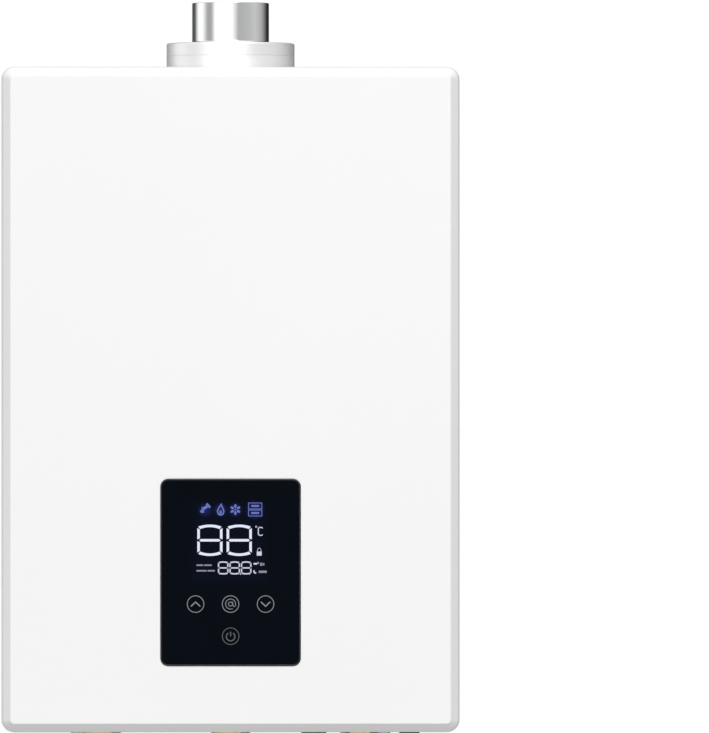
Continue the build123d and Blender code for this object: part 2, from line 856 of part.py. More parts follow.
def valve_coil(side):
    start = (side * valve_half, valve_y, valve_z)
    coil = rod(start, (side, 0, 0), coil_length, coil_radius)
    return coil - rod(start, (side, 0, 0), coil_length - coil_end, plunger_radius + slip)


def valve_plunger(side):
    start = (side * (valve_half + seat_gap), valve_y, valve_z)
    return rod(start, (side, 0, 0), plunger_length, plunger_radius)


# Connections, water pipes and flow sensor

def connector(x):
    body = rod((x, chamber_y, connector_end), (0, 0, 1), nut_base - connector_end, thread_radius)
    body += rod((x, chamber_y, nut_base), (0, 0, 1), floor_top - nut_base, shank_radius)
    body += rod((x, chamber_y, floor_top), (0, 0, 1), connector_flange, connector_flange_radius)
    return body - rod((x, chamber_y, connector_end), (0, 0, 1), connector_top - connector_end, thread_bore)


def make_gas_inlet_connector():
    return connector(0) + tube((0, chamber_y, connector_top), (0, 0, 1), valve_base - connector_top,
                               gas_tube_radius, gas_tube_bore)


def make_connector_nuts():
    nuts = []
    for x in (-coil_x, 0, coil_x):
        hexagon = RegularPolygon(nut_across / 2, 6, major_radius=False)
        nut = extrude(Plane(origin=(x, chamber_y, nut_base)) * hexagon, nut_thick)
        nuts.append(nut - rod((x, chamber_y, nut_base), (0, 0, 1), nut_thick, shank_radius + slip))
    return group(nuts)


def make_inlet_filter():
    radius = sensor_bore - slip
    start = (coil_x, chamber_y, connector_top)
    cup = tube(start, (0, 0, 1), filter_length, radius, radius - filter_wall)
    lid = (coil_x, chamber_y, connector_top + filter_length - filter_wall)
    return cup + tube(lid, (0, 0, 1), filter_wall, radius, thread_bore / 2)


def spider(z):
    arm = block(-sensor_bore - slip, sensor_bore + slip, -spider_width / 2, spider_width / 2, 0, spider_thick)
    return Pos(coil_x, chamber_y, z) * (arm + Rot(0, 0, 90) * arm)


def make_flow_sensor_body():
    axis = (coil_x, chamber_y, connector_top)
    body = rod(axis, (0, 0, 1), sensor_length, sensor_radius)
    body += block(drain_x, coil_x, chamber_y - drain_arm_width / 2, chamber_y + drain_arm_width / 2,
                  connector_top, connector_top + drain_arm_height)
    body += rod((drain_x, chamber_y, floor_top), (0, 0, 1), connector_flange + drain_arm_height,
                drain_boss_radius)
    body -= rod(axis, (0, 0, 1), sensor_length - sensor_top, sensor_bore)
    body -= rod(axis, (0, 0, 1), sensor_length, tube_radius - tube_wall)
    body -= rod((drain_x, chamber_y, floor_top), (0, 0, 1), drain_depth + seat_gap, drain_radius + slip)
    body += spider(spider_base)
    body += spider(spider_base + spider_thick + turbine_room)
    return body + rod((coil_x, chamber_y, spider_base), (0, 0, 1), 2 * spider_thick + turbine_room,
                      turbine_pin)


def make_flow_turbine():
    base = spider_base + spider_thick + tube_clear
    length = turbine_room - 2 * tube_clear
    hub = rod((coil_x, chamber_y, base), (0, 0, 1), length, turbine_hub)
    blade = block(0, turbine_radius, -turbine_blade / 2, turbine_blade / 2, 0, length)
    place = Pos(coil_x, chamber_y, base)
    hub += [place * Rot(0, 0, index * 360 / turbine_blades) * blade for index in range(turbine_blades)]
    return hub - rod((coil_x, chamber_y, base), (0, 0, 1), length, turbine_pin + slip)


def make_drain_plug():
    under = -chassis_half_height - seat_gap
    plug = rod((drain_x, chamber_y, under), (0, 0, 1), floor_top + drain_depth - under, drain_radius)
    plug += rod((drain_x, chamber_y, under), (0, 0, -1), drain_head, drain_head_radius)
    wing = drain_wing_thick / 2
    low = under - drain_head - drain_wing
    return plug + block(drain_x - drain_head_radius, drain_x + drain_head_radius, chamber_y - wing,
                        chamber_y + wing, low, under - drain_head)


def make_cold_pipe():
    return tube((coil_x, chamber_y, sensor_end), (0, 0, 1), coil_start - sensor_end,
                tube_radius, tube_radius - tube_wall)


def make_hot_pipe():
    slant = outlet_x - coil_x
    points = [(-outlet_x, tube_last_y, coil_finish), (-outlet_x, tube_last_y, valve_z + slant),
              (-coil_x, chamber_y, valve_z - slant), (-coil_x, chamber_y, connector_top)]
    return pipe(points, bend_radius, tube_radius, tube_radius - tube_wall)


def make_outlet_sensor():
    z = connector_top + probe_lift
    clip = tube((-coil_x, chamber_y, z), (0, 0, 1), clip_height, clip_radius, tube_radius + slip)
    probe = rod((-coil_x, chamber_y - clip_radius + probe_radius / 2, z + clip_height / 2), (0, -1, 0),
                probe_length, probe_radius)
    return clip + probe


def make_overheat_thermostat():
    start = (stat_x, chamber_front, tube_z)
    stat = rod(start, (0, -1, 0), stat_thick / 2, stat_radius)
    return stat + rod(start, (0, -1, 0), stat_thick, stat_cap_radius)


# Electrical parts

def make_control_box():
    box = block(box_x, box_x + box_width, box_front, -sheet, box_base, box_top)
    wall = box_wall
    return box - block(box_x + wall, box_x + box_width - wall, box_front, -sheet - wall,
                       box_base + wall, box_top - wall)


def make_control_board():
    wall = box_wall + seat_gap
    rear = -sheet - box_wall
    board = block(box_x + wall, box_x + box_width - wall, rear - board_boss - board_thick,
                  rear - board_boss, box_base + wall, box_top - wall)
    for z in (box_base + box_height / 4, box_top - box_height / 4):
        board += rod((box_x + box_width / 2, rear, z), (0, -1, 0), board_boss, board_boss)
        relay = box_width / 4
        middle = box_x + box_width / 2
        board += block(middle - relay, middle + relay, rear - board_boss - board_thick - relay,
                       rear - board_boss - board_thick, z - relay, z + relay)
    return board


def make_control_box_lid():
    return block(box_x, box_x + box_width, box_front - lid_thick, box_front, box_base, box_top)


def make_ignition_transformer():
    outer = sheet + transformer_side - chassis_half_width
    base = burner_top + transformer_lift
    block_body = block(outer, outer + transformer_width, -sheet - transformer_depth, -sheet,
                       base, base + transformer_height)
    return fillet(block_body.edges().filter_by(Axis.Z).group_by(Axis.Y)[0], valve_edge)


def make_pressure_switch():
    start = (-switch_offset, -sheet, fan_z)
    switch = rod(start, (0, -1, 0), switch_foot, switch_radius / 2)
    switch += rod((-switch_offset, -sheet - switch_foot, fan_z), (0, -1, 0), switch_thick, switch_radius)
    return switch + rod((-switch_offset, switch_front, fan_z), (0, -1, 0), nipple_length, nipple_radius)


def make_pressure_tube():
    points = [(-switch_offset, switch_front - seat_gap, fan_z), (-switch_offset, flue_y, fan_z),
              (tap_x - hose_bend - nipple_length, flue_y, tap_z),
              (tap_x + nipple_length - seat_gap, flue_y, tap_z)]
    return pipe(points, hose_bend, hose_radius, nipple_radius + slip)


def make_wiring_harness():
    x = box_x + box_width / 2
    side = valve_half / 2
    low = box_base - harness_drop
    points = [(x, -harness_back, box_base), (x, -harness_back, low), (side, -harness_back, low),
              (side, -harness_back, valve_z), (side, valve_rear, valve_z)]
    route = FilletPolyline(*points, radius=harness_bend)
    return sweep(Plane(origin=route @ 0, z_dir=route % 0) * Circle(harness_radius), path=route)


def make_cable_gland():
    base = -chassis_half_height
    gland = rod((gland_x, chamber_y, base - gland_drop), (0, 0, 1),
                gland_drop + sheet + gland_flange, gland_radius)
    gland += rod((gland_x, chamber_y, floor_top), (0, 0, 1), gland_flange, gland_flange_radius)
    gland += rod((gland_x, chamber_y, base), (0, 0, -1), gland_flange, gland_flange_radius)
    return gland - rod((gland_x, chamber_y, base - gland_drop), (0, 0, 1),
                       gland_drop + sheet + gland_flange, gland_bore)


pieces = {
    "front_cover": make_front_cover,
    "cover_seal": make_cover_seal,
    "cover_screws": make_cover_screws,
    "panel_bezel": make_panel_bezel,
    "glass_panel": make_glass_panel,
    "panel_holder": make_panel_holder,
    "display_board": make_display_board,
    "back_plate": make_back_plate,
    "top_panel": make_top_panel,
    "bottom_panel": make_bottom_panel,
    "chassis_screws": make_chassis_screws,
    "flue_collar": make_flue_collar,
    "flue_spigot": make_flue_spigot,
    "flue_flange": make_flue_flange,
    "flue_gasket": make_flue_gasket,
    "fan_housing": make_fan_housing,
    "fan_motor": make_fan_motor,
    "motor_screws": make_motor_screws,
    "fan_shaft": make_fan_shaft,
    "fan_impeller": make_fan_impeller,
    "smoke_hood": make_smoke_hood,
    "exchanger_shell": make_exchanger_shell,
    "exchanger_fins": make_exchanger_fins,
    "exchanger_tubes": make_exchanger_tubes,
    "combustion_chamber": make_combustion_chamber,
    "water_coil": make_water_coil,
    "chamber_brackets": make_chamber_brackets,
    "burner_frame": make_burner_frame,
    "burner_bars": make_burner_bars,
    "gas_manifold": make_gas_manifold,
    "gas_injectors": make_gas_injectors,
    "ignition_electrodes": make_ignition_electrodes,
    "flame_sensor": make_flame_sensor,
    "gas_valve_body": make_gas_valve_body,
    "solenoid_coil": lambda: valve_coil(-1),
    "solenoid_plunger": lambda: valve_plunger(-1),
    "modulator_coil": lambda: valve_coil(1),
    "modulator_plunger": lambda: valve_plunger(1),
    "gas_inlet_connector": make_gas_inlet_connector,
    "cold_inlet_connector": lambda: connector(coil_x),
    "hot_outlet_connector": lambda: connector(-coil_x),
    "connector_nuts": make_connector_nuts,
    "inlet_filter": make_inlet_filter,
    "flow_sensor_body": make_flow_sensor_body,
    "flow_turbine": make_flow_turbine,
    "drain_plug": make_drain_plug,
    "cold_pipe": make_cold_pipe,
    "hot_pipe": make_hot_pipe,
    "outlet_sensor": make_outlet_sensor,
    "overheat_thermostat": make_overheat_thermostat,
    "control_box": make_control_box,
    "control_board": make_control_board,
    "control_box_lid": make_control_box_lid,
    "ignition_transformer": make_ignition_transformer,
    "pressure_switch": make_pressure_switch,
    "pressure_tube": make_pressure_tube,
    "wiring_harness": make_wiring_harness,
    "cable_gland": make_cable_gland,
}

os.makedirs("parts", exist_ok=True)
for name, make in pieces.items():
    export_step(make(), f"parts/{name}.step")
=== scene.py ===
import bpy
import bmesh
import json
from math import cos, pi, radians, sin, sqrt, tan
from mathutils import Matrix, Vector


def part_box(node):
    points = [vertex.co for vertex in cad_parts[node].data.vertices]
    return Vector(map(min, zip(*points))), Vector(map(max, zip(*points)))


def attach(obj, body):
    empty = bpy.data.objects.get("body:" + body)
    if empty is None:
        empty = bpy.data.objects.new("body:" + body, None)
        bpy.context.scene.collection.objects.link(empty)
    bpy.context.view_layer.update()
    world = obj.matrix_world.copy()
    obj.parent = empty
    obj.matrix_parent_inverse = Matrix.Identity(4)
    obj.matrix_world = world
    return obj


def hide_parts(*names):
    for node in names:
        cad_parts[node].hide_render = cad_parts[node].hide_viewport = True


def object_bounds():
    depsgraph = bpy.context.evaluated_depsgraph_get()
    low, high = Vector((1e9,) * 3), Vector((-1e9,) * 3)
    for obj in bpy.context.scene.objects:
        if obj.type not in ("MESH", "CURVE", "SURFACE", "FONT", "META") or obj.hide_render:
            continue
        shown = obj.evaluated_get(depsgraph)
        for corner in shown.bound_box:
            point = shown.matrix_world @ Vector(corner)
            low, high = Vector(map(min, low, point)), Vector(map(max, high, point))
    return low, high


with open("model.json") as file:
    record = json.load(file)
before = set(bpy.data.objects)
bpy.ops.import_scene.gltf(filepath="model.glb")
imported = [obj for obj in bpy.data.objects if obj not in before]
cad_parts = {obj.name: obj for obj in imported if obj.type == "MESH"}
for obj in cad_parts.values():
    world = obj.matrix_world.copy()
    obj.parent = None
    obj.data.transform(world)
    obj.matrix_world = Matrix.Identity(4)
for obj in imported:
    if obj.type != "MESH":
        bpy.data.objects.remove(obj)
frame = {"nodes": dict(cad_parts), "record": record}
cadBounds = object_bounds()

mm = 0.001
print("frame loaded:", len(frame["nodes"]), "nodes")


# shader expressions
class Wire:
    def __init__(self, tree, socket):
        self.tree = tree
        self.socket = socket

    def node(self, kind, settings, inputs, out=0):
        made = self.tree.nodes.new(kind)
        for key, value in settings.items():
            if key == "stops":
                self.fillRamp(made.color_ramp, value)
            else:
                setattr(made, key, value)
        for key, value in inputs.items():
            if isinstance(value, Wire):
                self.tree.links.new(value.socket, made.inputs[key])
            else:
                made.inputs[key].default_value = value
        return Wire(self.tree, made.outputs[out])

    def fillRamp(self, ramp, stops):
        while len(ramp.elements) < len(stops):
            ramp.elements.new(0.5)
        for element, (place, colour) in zip(ramp.elements, stops):
            element.position = place
            element.color = colour

    def maths(self, operation, first, second):
        return self.node("ShaderNodeMath", {"operation": operation}, {0: first, 1: second})

    def __add__(self, other):
        return self.maths("ADD", self, other)

    def __radd__(self, other):
        return self.maths("ADD", other, self)

    def __sub__(self, other):
        return self.maths("SUBTRACT", self, other)

    def __rsub__(self, other):
        return self.maths("SUBTRACT", other, self)

    def __mul__(self, other):
        return self.maths("MULTIPLY", self, other)

    def __rmul__(self, other):
        return self.maths("MULTIPLY", other, self)

    def __truediv__(self, other):
        return self.maths("DIVIDE", self, other)

    def __rtruediv__(self, other):
        return self.maths("DIVIDE", other, self)

    def above(self, edge):
        return self.maths("GREATER_THAN", self, edge)

    def stretched(self, scale):
        return self.node("ShaderNodeMapping", {}, {"Vector": self, "Scale": scale})

    def noise(self, scale, detail=3.0, rough=0.5):
        return self.node("ShaderNodeTexNoise", {}, {"Vector": self, "Scale": scale,
                                                   "Detail": detail, "Roughness": rough})

    def cells(self, scale, out="Color"):
        return self.node("ShaderNodeTexVoronoi", {}, {"Vector": self, "Scale": scale}, out)

    # the three parts of a vector
    def axes(self):
        split = self.node("ShaderNodeSeparateXYZ", {}, {0: self}).socket.node
        return [Wire(self.tree, socket) for socket in split.outputs]

    # between two colours, each given as four numbers or as a wire
    def mixed(self, low, high):
        return self.node("ShaderNodeMix", {"data_type": "RGBA"}, {0: self, 6: low, 7: high}, 2)

    def tint(self, low, high):
        return self.mixed((*low, 1), (*high, 1))

    def bump(self, strength, distance):
        return self.node("ShaderNodeBump", {}, {"Strength": strength, "Distance": distance,
                                                "Height": self})


def startFinish(name, values):
    finish = bpy.data.materials.new(name)
    finish.use_nodes = True
    tree = finish.node_tree
    shader = tree.nodes["Principled BSDF"]
    for key, value in values.items():
        shader.inputs[key].default_value = value
    place = Wire(tree, tree.nodes.new("ShaderNodeTexCoord").outputs["Object"])

    def feed(socketName, wire):
        tree.links.new(wire.socket, shader.inputs[socketName])

    return finish, place, feed


# painted casing: white gloss coat with a faint orange peel
enamelLook = {"low": (0.862, 0.862, 0.862), "high": (0.888, 0.887, 0.886), "cloudScale": 4.3,
              "peelScale": 900.0, "peelStrength": 0.12, "peelDepth": 0.00002,
              "shine": 0.29, "shineSpread": 0.08, "coat": 0.25, "coatShine": 0.08}


def enamelFinish():
    look = enamelLook
    finish, place, feed = startFinish("enamelWhite", {"Coat Weight": look["coat"],
                                                      "Coat Roughness": look["coatShine"]})
    cloud = place.noise(look["cloudScale"], 1.0)
    peel = place.noise(look["peelScale"], 2.0)
    feed("Base Color", cloud.tint(look["low"], look["high"]))
    feed("Roughness", look["shine"] + look["shineSpread"] * cloud)
    feed("Normal", peel.bump(look["peelStrength"], look["peelDepth"]))
    return finish


# black glass, back printed, with light traces of wiping and a faintly lit display window
glassLook = {"low": (0.0012, 0.0024, 0.0050), "high": (0.0022, 0.0036, 0.0070), "gloss": 0.016,
             "shine": 0.05, "shineSpread": 0.06, "hazeScale": 60.0, "hazeStretch": (1.0, 1.0, 0.4),
             "litX": -0.001, "litZ": -0.111, "litHalfX": 0.024, "litHalfZ": 0.026, "litSoft": 0.008,
             "litTint": (0.0008, 0.0011, 0.0052), "iconGlowTint": (0.012, 0.016, 0.11), "iconZ": -0.0855,
             "iconSpots": [(-0.0196, 0.0062), (-0.0077, 0.006), (0.0037, 0.0062), (0.01905, 0.0082)]}


def glassFinish():
    look = glassLook
    finish, place, feed = startFinish("panelGlassBlack", {"IOR": 1.5, "Specular IOR Level": look["gloss"],
                                                         "Emission Strength": 1.0})
    haze = place.stretched(look["hazeStretch"]).noise(look["hazeScale"], 4.0)
    feed("Base Color", haze.tint(look["low"], look["high"]))
    feed("Roughness", look["shine"] + look["shineSpread"] * haze)
    x, _, z = place.axes()
    side = x.maths("ABSOLUTE", x - look["litX"], 0.0) - look["litHalfX"]
    rise = z.maths("ABSOLUTE", z - look["litZ"], 0.0) - look["litHalfZ"]
    edge = 1.0 - side.maths("MAXIMUM", side, rise) / look["litSoft"]
    lit = edge.node("ShaderNodeClamp", {}, {0: edge}).tint((0.0, 0.0, 0.0), look["litTint"])
    # painted glow: soft blue light spill round each icon, emitted by the glass itself
    drop = z - look["iconZ"]
    halo = drop * 0.0
    for iconX, reach in look["iconSpots"]:
        aside = x - iconX
        spread = aside * aside + drop * drop
        halo = halo.maths("MAXIMUM", halo, 1.0 - spread.maths("SQRT", spread, 0.0) / reach)
    feed("Emission Color", halo.mixed(lit, (*look["iconGlowTint"], 1)))
    return finish


# metals share one build: two tints, streaks along an axis and a fine grain
metalLook = {"cloudScale": 24.0, "cloudPart": 0.55, "cloudShine": 0.06, "grainStrength": 0.25}


def metalFinish(name, low, high, shine, streaks, grainScale, depth, spread=0.1, metal=1.0):
    look = metalLook
    finish, place, feed = startFinish(name, {"Metallic": metal})
    lines = place.stretched(streaks).noise(grainScale, 3.0)
    cloud = place.noise(look["cloudScale"], 3.0)
    feed("Base Color", (look["cloudPart"] * cloud + (1 - look["cloudPart"]) * lines).tint(low, high))
    feed("Roughness", shine + spread * (lines - 0.5) + look["cloudShine"] * cloud)
    feed("Normal", lines.bump(look["grainStrength"], depth))
    return finish


# galvanised sheet with large crystal flakes
zincLook = {"low": (0.62, 0.64, 0.66), "high": (0.76, 0.78, 0.79), "flakeScale": 115.0, "shine": 0.34,
            "shineSpread": 0.16, "waveScale": 160.0, "waveStrength": 0.1, "waveDepth": 0.00005}


def zincFinish():
    look = zincLook
    finish, place, feed = startFinish("zincSheet", {"Metallic": 0.9})
    flakes = place.cells(look["flakeScale"])
    shade = flakes.node("ShaderNodeSeparateColor", {}, {0: flakes})
    feed("Base Color", shade.tint(look["low"], look["high"]))
    feed("Roughness", look["shine"] + look["shineSpread"] * shade)
    feed("Normal", place.noise(look["waveScale"]).bump(look["waveStrength"], look["waveDepth"]))
    return finish


# moulded pieces share one build: soft cloud of two tints and a fine speckle
plasticLook = {"gloss": 0.4, "cloudScale": 18.0, "shineSpread": 0.12, "grainStrength": 0.3,
               "grainDepth": 0.00004}


def plasticFinish(name, low, high, shine, grain):
    look = plasticLook
    finish, place, feed = startFinish(name, {"Specular IOR Level": look["gloss"]})
    cloud = place.noise(look["cloudScale"], 3.0)
    speckle = place.noise(grain, 2.0)
    feed("Base Color", cloud.tint(low, high))
    feed("Roughness", shine + look["shineSpread"] * speckle)
    feed("Normal", speckle.bump(look["grainStrength"], look["grainDepth"]))
    return finish


# circuit board: green lacquer over straight copper runs
boardLook = {"low": (0.012, 0.085, 0.035), "high": (0.04, 0.16, 0.06), "runScale": 420.0, "runEdge": 0.42,
             "runStretch": (1.0, 1.0, 0.08), "shine": 0.35, "shineSpread": 0.15, "coat": 0.3}


def boardFinish():
    look = boardLook
    finish, place, feed = startFinish("circuitBoard", {"Coat Weight": look["coat"]})
    runs = place.stretched(look["runStretch"]).cells(look["runScale"], "Distance")
    mask = runs.above(look["runEdge"])
    feed("Base Color", mask.tint(look["low"], look["high"]))
    feed("Roughness", look["shine"] + look["shineSpread"] * mask)
    feed("Normal", mask.bump(0.3, 0.00003))
    return finish


# lit symbols behind the glass
lampLook = {"lampWhite": (0.80, 0.83, 1.0), "lampBlue": (0.11, 0.15, 0.52),
            "lampFine": (0.62, 0.65, 0.80), "lampPale": (0.24, 0.25, 0.33),
            "keyGrey": (0.23, 0.25, 0.28), "keyDim": (0.085, 0.09, 0.095)}


def lampFinish(name):
    finish, place, feed = startFinish(name, {"Base Color": (0, 0, 0, 1), "Roughness": 0.4,
                                             "Emission Strength": 1.0})
    colour = lampLook[name]
    dimmer = tuple(0.86 * part for part in colour)
    feed("Emission Color", place.noise(420.0, 1.0).tint(dimmer, colour))
    return finish


slotFinish = {
    "casing_white": enamelFinish(),
    "panel_glass": glassFinish(),
    "zinc_sheet": zincFinish(),
    "board": boardFinish(),
    "flue_satin": metalFinish("flueSatin", (0.88, 0.88, 0.88), (0.94, 0.94, 0.94), 0.40,
                              (1, 1, 0.05), 900.0, 0.00002, metal=0.72),
    "flue_bright": metalFinish("flueBright", (0.84, 0.85, 0.86), (0.92, 0.92, 0.92), 0.1,
                               (1, 1, 0.05), 1200.0, 0.000006, 0.05),
    "bezel_black": plasticFinish("trimBlack", (0.004, 0.005, 0.007), (0.007, 0.008, 0.010),
                                 0.24, 2400.0),
    "copper": metalFinish("copperBright", (0.62, 0.28, 0.15), (0.86, 0.47, 0.30), 0.26,
                          (0.2, 1, 1), 260.0, 0.00003),
    "stainless": metalFinish("stainlessPlain", (0.46, 0.46, 0.45), (0.64, 0.64, 0.63), 0.3,
                             (1, 0.08, 1), 700.0, 0.00003),
    "cast_metal": metalFinish("castMetal", (0.44, 0.45, 0.46), (0.60, 0.61, 0.62), 0.48,
                              (1, 1, 1), 800.0, 0.0002),
    "brass": metalFinish("brassTurned", (0.72, 0.53, 0.24), (0.82, 0.64, 0.32), 0.24,
                         (0.1, 0.1, 1), 1500.0, 0.000006, 0.06),
    "motor_steel": metalFinish("motorSteel", (0.36, 0.37, 0.39), (0.52, 0.53, 0.55), 0.32,
                               (1, 1, 0.1), 500.0, 0.00003),
    "screw_steel": metalFinish("screwZinc", (0.58, 0.59, 0.60), (0.76, 0.77, 0.78), 0.24,
                               (1, 1, 1), 900.0, 0.00002),
    "panel_plastic": plasticFinish("mouldedLight", (0.68, 0.68, 0.67), (0.76, 0.76, 0.75),
                                   0.42, 2200.0),
    "black_plastic": plasticFinish("mouldedBlack", (0.012, 0.012, 0.013), (0.026, 0.026, 0.028),
                                   0.38, 2600.0),
    "white_ceramic": plasticFinish("glazedCeramic", (0.78, 0.77, 0.74), (0.86, 0.85, 0.82),
                                   0.14, 900.0),
    "seal_rubber": plasticFinish("siliconeGrey", (0.20, 0.19, 0.185), (0.30, 0.29, 0.28),
                                 0.62, 1600.0),
    "wire_sleeve": plasticFinish("wireSleeve", (0.010, 0.010, 0.011), (0.030, 0.030, 0.032),
                                 0.55, 1900.0),
}
symbolFinish = {name: lampFinish(name) for name in lampLook}

for entry in frame["record"]["subparts"]:
    cadNode = frame["nodes"][entry["node"]]
    cadNode.data.materials.clear()
    cadNode.data.materials.append(slotFinish[entry["material_slot"]])
print("finishes made:", len(slotFinish))


# shared mesh building
def settle(piece, body, replaced):
    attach(piece, body)
    if replaced:
        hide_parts(*replaced)
    return piece


def tidyMesh(mesh, finish, sharp):
    shape = bmesh.new()
    shape.from_mesh(mesh)
    bmesh.ops.remove_doubles(shape, verts=shape.verts, dist=1e-7)
    bmesh.ops.recalc_face_normals(shape, faces=shape.faces)
    shape.to_mesh(mesh)
    shape.free()
    mesh.materials.clear()
    mesh.materials.append(finish)
    mesh.shade_smooth()
    mesh.set_sharp_from_angle(angle=radians(sharp))


def makeObject(name, verts, faces, finish, sharp=32):
    mesh = bpy.data.meshes.new(name)
    mesh.from_pydata(verts, [], faces)
    tidyMesh(mesh, finish, sharp)
    made = bpy.data.objects.new(name, mesh)
    bpy.context.collection.objects.link(made)
    return made


def stripFaces(loopCount, pointCount, closed=True):
    faces = []
    for ring in range(loopCount if closed else loopCount - 1):
        after = (ring + 1) % loopCount
        for i in range(pointCount):
            j = (i + 1) % pointCount
            faces.append((ring * pointCount + i, ring * pointCount + j,
                          after * pointCount + j, after * pointCount + i))
    return faces


# rounded rectangle in the plane Y = y, all in millimetres, with the same point count every time
def frontLoop(halfWide, halfHigh, corner, y, midZ, steps=10):
    points = []
    for cornerX, cornerZ, start in ((1, 1, 0), (-1, 1, 90), (-1, -1, 180), (1, -1, 270)):
        for step in range(steps + 1):
            turn = radians(start + 90 * step / steps)
            x = cornerX * (halfWide - corner) + corner * cos(turn)
            z = cornerZ * (halfHigh - corner) + corner * sin(turn)
            points.append((x * mm, y * mm, (z + midZ) * mm))
    return points


def loopsObject(name, loops, finish, closed=True, sharp=32):
    verts = [point for loop in loops for point in loop]
    faces = stripFaces(len(loops), len(loops[0]), closed)
    return makeObject(name, verts, faces, finish, sharp)


# profile of (radius, height) turned about an upright axis; a closed profile gives a closed shell
def turnedMesh(profile, centre, segments):
    verts = []
    for radius, height in profile:
        for step in range(segments):
            turn = 2 * pi * step / segments
            verts.append(((centre[0] + radius * cos(turn)) * mm, (centre[1] + radius * sin(turn)) * mm,
                          height * mm))
    return verts, stripFaces(len(profile), segments)


def arcPoints(midR, midZ, radius, start, end, steps):
    points = []
    for step in range(steps + 1):
        turn = radians(start + (end - start) * step / steps)
        points.append((midR + radius * cos(turn), midZ + radius * sin(turn)))
    return points


def boxCorners(node):
    low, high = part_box(node)
    return [value / mm for value in low], [value / mm for value in high]


# the result of an object's modifiers becomes its own mesh
def keepResult(target):
    shown = target.evaluated_get(bpy.context.evaluated_depsgraph_get())
    mesh = bpy.data.meshes.new_from_object(shown)
    target.modifiers.clear()
    target.data = mesh


def cutWith(target, cutters):
    for cutter in cutters:
        step = target.modifiers.new("cut", "BOOLEAN")
        step.operation = "DIFFERENCE"
        step.solver = "EXACT"
        step.object = cutter
    keepResult(target)
    for cutter in cutters:
        bpy.data.objects.remove(cutter)


def blockObject(name, low, high):
    verts = [(x * mm, y * mm, z * mm) for x in (low[0], high[0]) for y in (low[1], high[1])
             for z in (low[2], high[2])]
    faces = [(0, 1, 3, 2), (4, 6, 7, 5), (0, 4, 5, 1), (2, 3, 7, 6), (0, 2, 6, 4), (1, 5, 7, 3)]
    return makeObject(name, verts, faces, slotFinish["casing_white"])


def rodObject(name, centre, radius, lowZ, highZ, segments=64):
    verts, faces = turnedMesh([(radius, lowZ), (radius, highZ)], centre, segments)
    faces = faces[:segments]
    faces.append(tuple(range(segments)))
    faces.append(tuple(range(segments, 2 * segments)))
    return makeObject(name, verts, faces, slotFinish["casing_white"])


# one-piece pressed cover
coverLook = {"bevel": 7.0, "sideRound": 5.0, "faceRound": 0.9, "corner": 10.0, "wall": 1.2,
             "roundSteps": 8, "hold": 0.5, "holeGap": 0.2, "holeCorner": 6.4, "rim": 0.25,
             "flueHole": 53.0, "lip": 32.0, "sideStrip": 12.0, "screwX": 120.0, "screwBack": 17.0,
             "screwHole": 2.05, "cutDepth": 3.0}


def coverLoop(inset, y, low, high):
    look = coverLook
    halfWide = (high[0] - low[0]) / 2 - inset
    halfHigh = (high[2] - low[2]) / 2 - inset
    return frontLoop(halfWide, halfHigh, max(look["corner"] - inset, 0.2), y, (high[2] + low[2]) / 2)


# edge profile from side to face as inset and depth, moved inwards by the wall
def bevelProfile(wall):
    look = coverLook
    sloped = look["bevel"] - wall * (2 - sqrt(2))
    points = []
    for radius, corner, start in ((look["sideRound"] - wall, (wall, wall + sloped), 0),
                                  (max(look["faceRound"] - wall, 0.15), (wall + sloped, wall), 45)):
        reach = radius * tan(radians(22.5))
        if start == 0:
            middle = (corner[0] + radius, corner[1] + reach)
        else:
            middle = (corner[0] + reach, corner[1] + radius)
        for step in range(look["roundSteps"] + 1):
            turn = radians(start + 45 * step / look["roundSteps"])
            points.append((middle[0] - radius * cos(turn), middle[1] - radius * sin(turn)))
    return points


